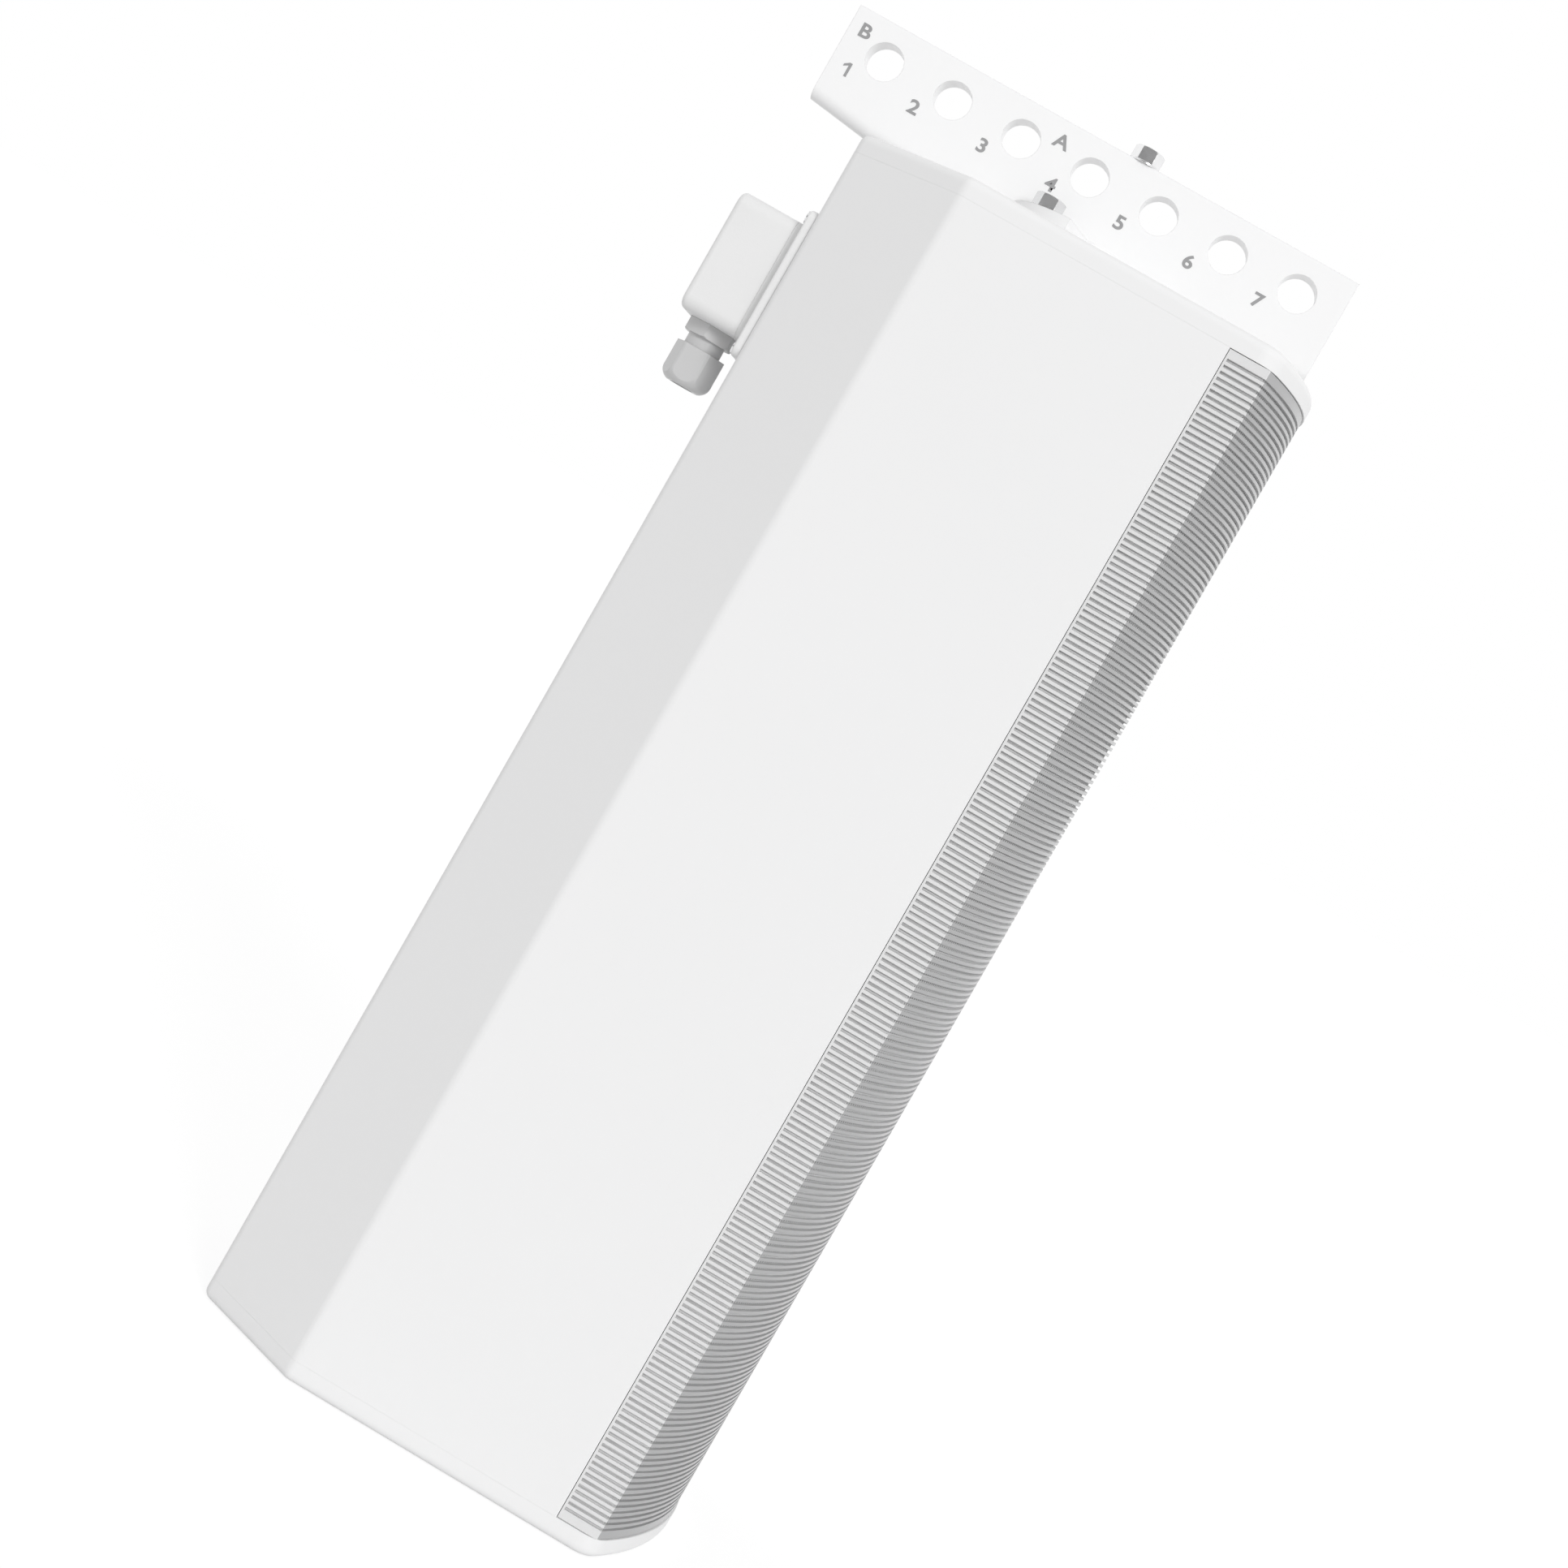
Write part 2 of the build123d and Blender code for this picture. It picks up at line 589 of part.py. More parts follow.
def woofer_magnet(z):
    """A front plate, the ring magnet and the back plate with its pole, as one piece."""
    bore = COIL_RADIUS + COIL_GAP
    front = BASKET_DEPTH
    magnet = front + POLE_PLATE_THICKNESS
    rear = magnet + MAGNET_THICKNESS
    points = [
        (bore, front),
        (POLE_PLATE_RADIUS, front),
        (POLE_PLATE_RADIUS, magnet),
        (MAGNET_RADIUS, magnet),
        (MAGNET_RADIUS, rear),
        (POLE_PLATE_RADIUS, rear),
        (POLE_PLATE_RADIUS, rear + POLE_PLATE_THICKNESS),
        (0, rear + POLE_PLATE_THICKNESS),
        (0, front),
        (COIL_RADIUS - COIL_GAP - CONE_PAPER, front),
        (COIL_RADIUS - COIL_GAP - CONE_PAPER, rear),
        (bore, rear),
    ]
    return turned(points, driver_place(z))


def woofer_cone(z):
    """The paper cone with its dust cap and the voice coil's tube."""
    slope = CONE_DEPTH / (CONE_RADIUS - COIL_RADIUS)
    tube_inner = COIL_RADIUS - CONE_PAPER
    points = [
        (CONE_RADIUS, 0),
        (CONE_RADIUS, CONE_PAPER),
        (COIL_RADIUS, CONE_DEPTH + CONE_PAPER),
        (COIL_RADIUS, BASKET_DEPTH + COIL_DEPTH),
        (tube_inner, BASKET_DEPTH + COIL_DEPTH),
        (tube_inner, CONE_DEPTH - slope * CONE_PAPER),
        (0, CONE_DEPTH - slope * CONE_PAPER),
        (0, CONE_DEPTH - DUST_CAP_HEIGHT - slope * 2 * CONE_PAPER),
        (DUST_CAP_RADIUS, CONE_DEPTH - slope * (DUST_CAP_RADIUS - COIL_RADIUS)),
    ]
    return turned(points, driver_place(z))


def woofer_surround(z):
    """The half-roll of rubber between the cone's rim and the basket's flange."""
    inner, outer = CONE_RADIUS + FIT, CONE_RADIUS + SURROUND_ROLL - FIT
    middle = (inner + outer) / 2
    front = -WOOFER_FLANGE
    points = [
        (inner, SURROUND_SKIN),
        (inner, 0),
        (middle, front),
        (outer, 0),
        (outer, SURROUND_SKIN),
        (middle, front + SURROUND_SKIN * 2),
    ]
    return turned(points, driver_place(z))


def tweeter_faceplate(z):
    """A round faceplate with a shallow horn round the dome."""
    points = [
        (TWEETER_DOME_RADIUS + FIT, 0),
        (TWEETER_DOME_RADIUS + 2 * TWEETER_PLATE, -TWEETER_PLATE),
        (TWEETER_PLATE_RADIUS, -TWEETER_PLATE),
        (TWEETER_PLATE_RADIUS, 0),
    ]
    return turned(points, driver_place(z))


def tweeter_dome(z):
    """The soft dome, held at the cup's front."""
    sphere = (TWEETER_DOME_RADIUS**2 + TWEETER_DOME_HEIGHT**2) / (2 * TWEETER_DOME_HEIGHT)
    middle_angle = atan2(TWEETER_DOME_RADIUS / 2, sphere - TWEETER_DOME_HEIGHT)
    on_arc = (sphere * sin(middle_angle), -(sphere * cos(middle_angle) - sphere + TWEETER_DOME_HEIGHT))
    arc = ThreePointArc((0, -TWEETER_DOME_HEIGHT), on_arc, (TWEETER_DOME_RADIUS, 0))
    base = Polyline((TWEETER_DOME_RADIUS, 0), (0, 0), (0, -TWEETER_DOME_HEIGHT))
    return driver_place(z) * revolve(Plane.XZ * make_face(arc + base), Axis.Z)


def tweeter_cup(z):
    """The sealed rear cup that holds the tweeter's magnet."""
    return rod(TWEETER_CUP_RADIUS, TWEETER_CUP_DEPTH, (0, BAFFLE_FRONT_Y, z), BACK)


# Inside


def board_rear_y():
    """The face of the crossover board that its standoffs meet."""
    return REAR_WALL_Y - STANDOFF_LENGTH


def crossover_board():
    """The crossover's circuit board on the rear wall."""
    y = board_rear_y()
    half = BOARD_WIDTH / 2
    return block((-half, y - BOARD_THICKNESS, BOARD_LOW), (half, y, BOARD_LOW + BOARD_HEIGHT))


def board_standoffs():
    """Four posts between the board and the rear wall."""
    x = BOARD_WIDTH / 2 - STANDOFF_INSET
    heights = (BOARD_LOW + STANDOFF_INSET, BOARD_LOW + BOARD_HEIGHT - STANDOFF_INSET)
    places = [(sign * x, board_rear_y(), z) for z in heights for sign in (-1, 1)]
    return all_of(rod(STANDOFF_RADIUS, STANDOFF_LENGTH, place, BACK) for place in places)


def crossover_coils():
    """Two air-cored coils, flat on the board."""
    y = board_rear_y() - BOARD_THICKNESS
    z = BOARD_LOW + COILS_UP
    coils = []
    for sign in (-1, 1):
        start = (sign * COIL_SPACING / 2, y, z)
        hole = rod(COIL_INNER, COIL_HEIGHT, start, FORWARD)
        coils.append(rod(COIL_OUTER, COIL_HEIGHT, start, FORWARD) - hole)
    return all_of(coils)


def crossover_capacitors():
    """A row of capacitors, lying on the board."""
    y = board_rear_y() - BOARD_THICKNESS - CAPACITOR_RADIUS
    places = [CAPACITOR_SPACING * (i - (CAPACITOR_COUNT - 1) / 2) for i in range(CAPACITOR_COUNT)]
    return all_of(rod(CAPACITOR_RADIUS, CAPACITOR_LENGTH, (x, y, BOARD_LOW + CAPACITORS_UP)) for x in places)


def damping_foam():
    """A block of foam on the rear wall."""
    half = cap_screw_places()[-1][0] - BOSS_RADIUS - FOAM_SIDE_GAP
    return block((-half, REAR_WALL_Y - FOAM_THICKNESS, FOAM_LOW), (half, REAR_WALL_Y, FOAM_HIGH))


# Rigging


def plate_outline():
    """The plan of both rigging plates."""
    middle = (PLATE_FRONT + PLATE_REAR) / 2
    return Pos(0, middle) * RectangleRounded(PLATE_WIDTH, PLATE_REAR - PLATE_FRONT, PLATE_CORNER)


def rigging_base_plate():
    """The plate on the top cap that the bar turns on."""
    plate = slab(plate_outline(), CABINET_HEIGHT, BAR_LOW)
    for x, y in plate_bolt_places():
        plate -= rod(PLATE_BOLT_RADIUS + FIT, BASE_PLATE_THICKNESS, (x, y, CABINET_HEIGHT))
        plate -= plate_bolt_head(x, y, HEAD_CLEARANCE)
    for x, y in ((0, PIVOT_Y), (LOCK_X, LOCK_Y)):
        plate -= rod(STUD_RADIUS + STUD_RUNNING, BASE_PLATE_THICKNESS, (x, y, CABINET_HEIGHT))
    return plate


def rigging_inner_plate():
    """The plate inside the top cap that spreads the load."""
    low = SHELL_HIGH - INNER_PLATE_THICKNESS
    plate = slab(plate_outline(), low, SHELL_HIGH)
    for x, y in plate_bolt_places():
        plate -= rod(PLATE_BOLT_RADIUS + FIT, INNER_PLATE_THICKNESS, (x, y, low))
    return plate - rod(STUD_RADIUS + STUD_RUNNING, INNER_PLATE_THICKNESS, (0, PIVOT_Y, low))


def plate_bolt_head(x, y, ease=0.0):
    """A countersunk head, flush with the base plate."""
    low = (x, y, BAR_LOW - PLATE_BOLT_HEAD_HEIGHT)
    return taper(PLATE_BOLT_RADIUS + ease, PLATE_BOLT_HEAD_RADIUS + ease, PLATE_BOLT_HEAD_HEIGHT, low)


def plate_bolts():
    """Countersunk bolts through both plates, each with its nut inside, as one piece."""
    bolts = []
    under = SHELL_HIGH - INNER_PLATE_THICKNESS
    for x, y in plate_bolt_places():
        shank = rod(PLATE_BOLT_RADIUS, BAR_LOW - under, (x, y, under))
        end = hexagon(PLATE_NUT_FLATS, PLATE_NUT_HEIGHT, (x, y, under), DOWN)
        bolt = shank + plate_bolt_head(x, y) + end
        bolts.append(bolt - socket(PLATE_BOLT_RADIUS, (x, y, BAR_LOW), DOWN))
    return all_of(bolts)


def rigging_bar():
    """The bar with its seven hanging holes, notched over the foot that is welded under it."""
    half = BAR_THICKNESS / 2
    side = Polyline(
        (BAR_FRONT, BAR_HIGH),
        (BAR_FRONT, BAR_LOW),
        (BAR_REAR - BAR_REAR_SLOPE, BAR_LOW),
        (BAR_REAR, BAR_LOW + BAR_REAR_RISE),
        (BAR_REAR, BAR_HIGH),
        close=True,
    )
    bar = extrude(Plane.YZ * make_face(side), half, both=True)
    low_edges = [e for e in bar.edges() if e.center().Z < BAR_LOW + BAR_REAR_RISE]
    bar = fillet([e for e in low_edges if abs(e.center().X) > half / 2], BAR_EDGE_RADIUS)
    for y in HOLES_Y:
        bar -= rod(HOLE_RADIUS, BAR_THICKNESS, (-half, y, HOLE_Z), (1, 0, 0))
    notch = block((-half, PIVOT_Y - SWIVEL_BOSS_RADIUS, BAR_LOW), (half, PIVOT_Y + FOOT_RADIUS, FOOT_TOP))
    return bar - notch - rod(STUD_RADIUS + STUD_RUNNING, BAR_HEIGHT, (0, PIVOT_Y, BAR_LOW))


def rigging_foot():
    """The foot under the bar: a tongue as wide as the bar, with the slotted sector on one side."""
    half = BAR_THICKNESS / 2
    low, high = -SWIVEL_BOSS_RADIUS, FOOT_RADIUS
    tongue = Pos(0, (low + high) / 2) * Rectangle(2 * half, high - low)
    foot = tongue + Circle(SWIVEL_BOSS_RADIUS) + foot_outline() - Circle(STUD_RADIUS + STUD_RUNNING)
    foot &= Pos(0, (low + high) / 2) * Rectangle(4 * FOOT_RADIUS, high - low)
    return Pos(0, PIVOT_Y, BAR_LOW) * extrude(foot, FOOT_THICKNESS)


def foot_outline():
    """A sector about the pivot, with the curved slot that the lock stud runs in."""
    start, span = LOCK_ANGLE - FOOT_HALF_ANGLE, 2 * FOOT_HALF_ANGLE
    arc = CenterArc((0, 0), FOOT_RADIUS, start, span)
    sector = make_face(arc + Polyline(arc @ 1, (0, 0), arc @ 0))
    path = CenterArc((0, 0), LOCK_RADIUS, LOCK_ANGLE - SWIVEL_HALF_RANGE, 2 * SWIVEL_HALF_RANGE)
    return sector - SlotArc(path, 2 * (STUD_RADIUS + SLOT_CLEARANCE))


def stud_tops():
    """Where the nut on the pivot stud and the nut on the lock stud end."""
    return BAR_HIGH + WASHER_THICKNESS + NUT_HEIGHT, FOOT_TOP + WASHER_THICKNESS + NUT_HEIGHT


def pivot_stud():
    """The long stud that the bar turns on, with its head under the inner plate."""
    low = SHELL_HIGH - INNER_PLATE_THICKNESS
    stud = rod(STUD_RADIUS, stud_tops()[0] - FIT - low, (0, PIVOT_Y, low))
    return stud + hexagon(NUT_FLATS, NUT_HEIGHT, (0, PIVOT_Y, low), DOWN)


def lock_stud():
    """The short stud in the base plate that stands up through the foot's slot."""
    return rod(STUD_RADIUS, stud_tops()[1] - FIT - CABINET_HEIGHT, (LOCK_X, LOCK_Y, CABINET_HEIGHT))


def rigging_washers():
    """One washer under each nut."""
    washers = []
    for x, y, z in ((0, PIVOT_Y, BAR_HIGH), (LOCK_X, LOCK_Y, FOOT_TOP)):
        hole = rod(STUD_RADIUS + STUD_RUNNING, WASHER_THICKNESS, (x, y, z))
        washers.append(rod(WASHER_RADIUS, WASHER_THICKNESS, (x, y, z)) - hole)
    return all_of(washers)


def rigging_nuts():
    """The nut that clamps the bar and the nut that locks its angle."""
    nuts = []
    for (x, y), top in zip(((0, PIVOT_Y), (LOCK_X, LOCK_Y)), stud_tops()):
        low = (x, y, top - NUT_HEIGHT)
        nut = nut_blank(NUT_FLATS, NUT_HEIGHT, NUT_EASE, low, turn=30)
        nuts.append(nut - rod(STUD_RADIUS + STUD_RUNNING, NUT_HEIGHT, low))
    return all_of(nuts)


# Junction box


def upright_sheet(width, low, height, corner, y):
    """A rounded rectangle that stands across the rear, centred on the middle plane."""
    place = Plane(origin=(0, y, low + height / 2), x_dir=(1, 0, 0), z_dir=FORWARD)
    return place * RectangleRounded(width, height, corner)


def junction_base():
    """The flanged base with a raised rim that the hood closes on."""
    flange = upright_sheet(JUNCTION_WIDTH, JUNCTION_LOW, JUNCTION_HEIGHT, JUNCTION_CORNER, RIM_Y)
    plate = extrude(flange, JUNCTION_PLATE)
    plate = fillet(plate.faces().sort_by(Axis.Y)[-1].edges(), JUNCTION_EDGE)
    rim = extrude(upright_sheet(HOOD_WIDTH, HOOD_LOW, HOOD_HEIGHT, HOOD_CORNER, HOOD_Y), HOOD_RIM)
    rim -= extrude(hood_inner_sheet(HOOD_Y), HOOD_RIM)
    base = plate + rim
    for x, z in hood_screw_places():
        base += rod(HOOD_POST_RADIUS, HOOD_RIM, (x, RIM_Y, z), BACK)
    for x, z in hood_screw_places():
        base -= rod(HOOD_SCREW_RADIUS, HOOD_SCREW_BITE, (x, HOOD_Y, z), FORWARD)
    for x, z in junction_screw_places():
        base -= rod(PLATE_SCREW_RADIUS + FIT, JUNCTION_PLATE, (x, REAR_Y, z), BACK)
    return base - rod(LEAD_HOLE_RADIUS, JUNCTION_PLATE, (0, REAR_Y, LEAD_HOLE_Z), BACK)


def hood_inner_sheet(y, grow=0.0):
    """The outline of the space inside the hood, grown all round by a distance."""
    wide = HOOD_WIDTH - 2 * HOOD_WALL + 2 * grow
    tall = HOOD_HEIGHT - 2 * HOOD_WALL + 2 * grow
    return upright_sheet(wide, HOOD_LOW + HOOD_WALL - grow, tall, HOOD_CORNER - HOOD_WALL + grow, y)


def junction_seal():
    """The seal in the hood's edge, pressed on the base's rim."""
    y = HOOD_Y + HOOD_SEAL
    return extrude(hood_inner_sheet(y, HOOD_SEAL / 2) - hood_inner_sheet(y), HOOD_SEAL)


def junction_hood():
    """The deep hood, rounded at its rear edges, with a screw post in each corner."""
    hood = extrude(upright_sheet(HOOD_WIDTH, HOOD_LOW, HOOD_HEIGHT, HOOD_CORNER, HOOD_REAR_Y), HOOD_DEPTH)
    hood = fillet(hood.faces().sort_by(Axis.Y)[-1].edges(), HOOD_EDGE)
    hood -= extrude(hood_inner_sheet(HOOD_REAR_Y - HOOD_WALL), HOOD_DEPTH - HOOD_WALL)
    y = HOOD_Y + HOOD_SEAL
    hood -= extrude(hood_inner_sheet(y, HOOD_SEAL / 2), HOOD_SEAL)
    for x, z in hood_screw_places():
        hood += rod(HOOD_POST_RADIUS, HOOD_DEPTH - HOOD_WALL - HOOD_SEAL, (x, y, z), BACK)
    for x, z in hood_screw_places():
        hood -= rod(HOOD_SCREW_RADIUS + FIT, HOOD_DEPTH, (x, HOOD_Y, z), BACK)
        hood -= hood_screw_head(x, z, HEAD_CLEARANCE)
    return hood - rod(GLAND_THREAD_RADIUS + THREAD_CLEARANCE, HOOD_WALL, (GLAND_X, GLAND_Y, HOOD_LOW))


def hood_screw_head(x, z, ease=0.0):
    """A countersunk head, flush with the hood's rear face."""
    height = HOOD_SCREW_HEAD - HOOD_SCREW_RADIUS
    return taper(HOOD_SCREW_RADIUS + ease, HOOD_SCREW_HEAD + ease, height, (x, HOOD_REAR_Y - height, z), BACK)


def hood_screws():
    """Four captive screws from the hood's rear face into the base."""
    length = HOOD_DEPTH + HOOD_SCREW_BITE - FIT
    screws = []
    for x, z in hood_screw_places():
        shank = rod(HOOD_SCREW_RADIUS - STUD_RUNNING, length, (x, HOOD_REAR_Y, z), FORWARD)
        screws.append(shank + hood_screw_head(x, z) - socket(HOOD_SCREW_RADIUS, (x, HOOD_REAR_Y, z), FORWARD))
    return all_of(screws)


def junction_screws():
    """The four screws that hold the junction box's base to the shell."""
    screws = []
    for x, z in junction_screw_places():
        head = rod(PLATE_SCREW_HEAD, PLATE_SCREW_HEAD_HEIGHT, (x, RIM_Y, z), BACK)
        shank = rod(PLATE_SCREW_RADIUS - STUD_RUNNING, JUNCTION_PLATE + SHELL_WALL, (x, RIM_Y, z), FORWARD)
        top = (x, RIM_Y + PLATE_SCREW_HEAD_HEIGHT, z)
        screws.append(head + shank - socket(PLATE_SCREW_RADIUS, top, FORWARD))
    return all_of(screws)


# Cable gland, from the hood downwards


def gland_spot(drop):
    """A point on the gland's axis, below the hood's underside."""
    return (GLAND_X, GLAND_Y, HOOD_LOW - drop)


def gland_body():
    """A hexagon flange between the thread in the hood and the neck that the nut runs on."""
    end = GLAND_FLANGE + GLAND_NECK + SLEEVE_LENGTH
    body = nut_blank(GLAND_FLATS, GLAND_FLANGE, GLAND_EASE, gland_spot(0), DOWN)
    body += rod(GLAND_THREAD_RADIUS, GLAND_TAIL, gland_spot(0), UP)
    body += rod(SLEEVE_RADIUS, end - GLAND_FLANGE, gland_spot(GLAND_FLANGE), DOWN)
    body += rod(GLAND_THREAD_RADIUS, GLAND_NECK, gland_spot(GLAND_FLANGE), DOWN)
    return body - rod(GLAND_BORE_RADIUS, GLAND_TAIL + end, gland_spot(-GLAND_TAIL), DOWN)


def gland_dome_nut():
    """The dome nut, with its shoulder drawn in over the seal."""
    start = GLAND_FLANGE + GLAND_NECK
    wide, straight, tip = DOME_CORNER_RADIUS, DOME_STRAIGHT, DOME_TIP_RADIUS
    middle = ((wide + tip) / 2 + DOME_CROWN, (straight + DOME_HEIGHT) / 2 + DOME_CROWN)
    shoulder = ThreePointArc((wide, straight), middle, (tip, DOME_HEIGHT))
    rest = Polyline((tip, DOME_HEIGHT), (0, DOME_HEIGHT), (0, 0), (wide, 0), (wide, straight))
    dome = revolve(Plane.XZ * make_face(shoulder + rest), Axis.Z)
    nut = hexagon(GLAND_FLATS, DOME_HEIGHT, gland_spot(start), DOWN, turn=30)
    nut &= Plane(origin=gland_spot(start), z_dir=DOWN) * dome
    nut -= rod(SLEEVE_RADIUS + STUD_RUNNING, SLEEVE_LENGTH + FIT, gland_spot(start), DOWN)
    nut -= rod(SLEEVE_RADIUS + STUD_RUNNING, seal_length() + FIT, gland_spot(start + SLEEVE_LENGTH), DOWN)
    return nut - rod(GLAND_BORE_RADIUS, DOME_HEIGHT, gland_spot(start), DOWN)


def seal_length():
    """The seal fills the dome nut between the sleeve and the nut's shoulder."""
    return DOME_HEIGHT - SLEEVE_LENGTH - DOME_SHOULDER


def gland_seal():
    """The rubber sleeve that grips the cable."""
    start = gland_spot(GLAND_FLANGE + GLAND_NECK + SLEEVE_LENGTH)
    bore = rod(SEAL_BORE_RADIUS, seal_length(), start, DOWN)
    return rod(SLEEVE_RADIUS - FIT, seal_length(), start, DOWN) - bore


def gland_locknut():
    """The flat nut inside the hood."""
    low = gland_spot(-HOOD_WALL)
    bore = rod(GLAND_THREAD_RADIUS + STUD_RUNNING, LOCKNUT_HEIGHT, low)
    return hexagon(LOCKNUT_FLATS, LOCKNUT_HEIGHT, low) - bore


# Terminals inside the hood


def terminal_block():
    """A screw terminal strip on the base, notched between its ways."""
    half, notch = TERMINAL_WIDTH / 2, TERMINAL_NOTCH_WIDTH / 2
    front, high = RIM_Y + TERMINAL_DEPTH, TERMINAL_LOW + TERMINAL_HEIGHT
    body = block((-half, RIM_Y, TERMINAL_LOW), (half, front, high))
    way = TERMINAL_WIDTH / TERMINAL_WAYS
    for i in range(1, TERMINAL_WAYS):
        x = -half + way * i
        body -= block((x - notch, front - TERMINAL_NOTCH_DEPTH, TERMINAL_LOW), (x + notch, front, high))
    return body


def terminal_screws():
    """One clamp screw for each way."""
    way = TERMINAL_WIDTH / TERMINAL_WAYS
    places = [way * (i - (TERMINAL_WAYS - 1) / 2) for i in range(TERMINAL_WAYS)]
    spot = (RIM_Y + TERMINAL_DEPTH, TERMINAL_LOW + TERMINAL_HEIGHT / 2)
    return all_of(rod(TERMINAL_SCREW_RADIUS, TERMINAL_SCREW_HEIGHT, (x, *spot), BACK) for x in places)


def write_part(name, shape):
    """Writes one sub-part under its node's name."""
    export_step(shape, f"parts/{name}.step")


def main():
    """Builds every sub-part and writes it."""
    os.makedirs("parts", exist_ok=True)
    single = [
        cabinet_shell, cap_screws, cap_gaskets,
        front_grille, grille_ribs, grille_cloth,
        baffle, baffle_screws,
        crossover_board, board_standoffs, crossover_coils, crossover_capacitors, damping_foam,
        rigging_base_plate, rigging_inner_plate, plate_bolts,
        rigging_bar, rigging_foot, pivot_stud, lock_stud, rigging_washers, rigging_nuts,
        junction_base, junction_seal, junction_hood, hood_screws, junction_screws,
        gland_body, gland_dome_nut, gland_seal, gland_locknut,
        terminal_block, terminal_screws,
    ]
    for make in single:
        write_part(make.__name__, make())
    write_part("top_cap", cap(rigged=True))
    write_part("bottom_cap", upside_down(cap(rigged=False)))
    write_part("woofer_baskets", all_of(woofer_basket(z) for z in WOOFER_HEIGHTS))
    write_part("woofer_magnets", all_of(woofer_magnet(z) for z in WOOFER_HEIGHTS))
    write_part("woofer_surrounds", all_of(woofer_surround(z) for z in WOOFER_HEIGHTS))
    for number, z in enumerate(WOOFER_HEIGHTS, 1):
        write_part(f"woofer_cone_{number}", woofer_cone(z))
    write_part("tweeter_faceplates", all_of(tweeter_faceplate(z) for z in TWEETER_HEIGHTS))
    write_part("tweeter_domes", all_of(tweeter_dome(z) for z in TWEETER_HEIGHTS))
    write_part("tweeter_cups", all_of(tweeter_cup(z) for z in TWEETER_HEIGHTS))


main()
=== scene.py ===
"""Looks for the column loudspeaker: its camera, light, materials and position marks.

Units are metres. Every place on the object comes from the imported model's own boxes and mounts.
"""

import json
from math import cos, radians, sin

import bmesh
import bpy
from mathutils import Matrix, Vector


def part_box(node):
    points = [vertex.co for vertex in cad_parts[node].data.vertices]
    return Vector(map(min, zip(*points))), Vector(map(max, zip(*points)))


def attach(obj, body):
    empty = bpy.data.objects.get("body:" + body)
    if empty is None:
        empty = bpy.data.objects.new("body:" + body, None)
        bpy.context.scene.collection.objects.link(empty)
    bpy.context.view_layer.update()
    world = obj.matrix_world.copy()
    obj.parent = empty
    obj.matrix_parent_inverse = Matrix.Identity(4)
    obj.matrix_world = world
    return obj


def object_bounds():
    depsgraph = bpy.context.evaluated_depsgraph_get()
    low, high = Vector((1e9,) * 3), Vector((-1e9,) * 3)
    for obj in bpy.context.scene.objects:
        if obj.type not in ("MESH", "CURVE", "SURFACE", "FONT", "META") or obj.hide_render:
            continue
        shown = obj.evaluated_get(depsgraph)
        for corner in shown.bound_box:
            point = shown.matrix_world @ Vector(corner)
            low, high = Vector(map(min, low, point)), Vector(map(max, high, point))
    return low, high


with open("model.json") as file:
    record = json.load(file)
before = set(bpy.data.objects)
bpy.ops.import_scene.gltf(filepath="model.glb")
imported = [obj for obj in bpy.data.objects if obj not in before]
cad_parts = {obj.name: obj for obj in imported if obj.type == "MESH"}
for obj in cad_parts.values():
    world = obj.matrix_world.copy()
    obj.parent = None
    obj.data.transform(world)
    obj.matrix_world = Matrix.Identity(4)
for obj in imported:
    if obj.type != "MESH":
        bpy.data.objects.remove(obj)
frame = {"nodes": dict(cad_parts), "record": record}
nodes = frame["nodes"]
cad_low, cad_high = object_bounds()

# Camera: its place, its turns in degrees, its lens and sensor in millimetres
CAMERA_PLACE = (-1.3364, -0.1043, 0.4524)
CAMERA_YAW = 2.94
CAMERA_PITCH = -1.65
CAMERA_ROLL = 29.90
CAMERA_LENS = 60.29
CAMERA_SENSOR = 36.0
CAMERA_SHIFT = (-0.0811, -0.0304)
CAMERA_CLIP = (0.01, 200.0)

# Light: the even light's strength, then each lamp's name, direction, strength and width in degrees
EVEN_LIGHT = 0.65
LAMPS = (
    ("key", (-0.82, -0.44, 0.36), 1.32, 20.0),
    ("rim_rear", (0.50, 0.87, 0.12), 0.25, 90.0),
    ("rim_front", (0.70, -0.70, 0.12), 0.25, 90.0),
)

# A painted dark reflection: a dark patch in the background that only gloss sees, standing in for an unlit
# end of the studio; its direction, its full and fading width in degrees
DARK_REFLECTION_TOWARDS = (-0.995, -0.08, 0.06)
DARK_REFLECTION_CORE = 14.0
DARK_REFLECTION_REACH = 48.0
DARK_REFLECTION_COLOUR = (0.28, 0.28, 0.28)

# Floor: half its size, its gap under the object, its white as it lights the object,
# and the white that takes the shadow, with the glow that tops it up where it is seen
FLOOR_HALF = 60.0
FLOOR_GAP = 0.0002
FLOOR_WHITE = (0.80, 0.80, 0.80, 1.0)
FLOOR_KEPT = (0.30, 0.30, 0.30, 1.0)
FLOOR_GLOW = 0.78

# How far the grille's creases lie ahead of the sheet's rear edges; the painted shade on the grille's front
# starts there
GRILLE_RETURN = 0.0218

# Position marks on the bar; the one's parts are shares of its height
MARK_HEIGHT = 0.0075
MARK_PROUD = 0.00012
MARK_WEIGHT = 0.025
MARK_WIDEN = 1.15
MARK_CURVE_STEPS = 6
ONE_STROKE = 0.17
ONE_FLAG = 0.30
ONE_FLAG_DROP = 0.24
ONE_FLAG_ROOT = 1.25

# From a hole's centre to the centre of its number, and each letter with its hole and its own way there
NUMBER_OFFSET = Vector((0, 0.0155, -0.0125))
LETTERS = (
    ("B", 1, Vector((0, 0.0158, 0.0089))),
    ("A", 4, Vector((0, 0.0212, 0.0089))),
)
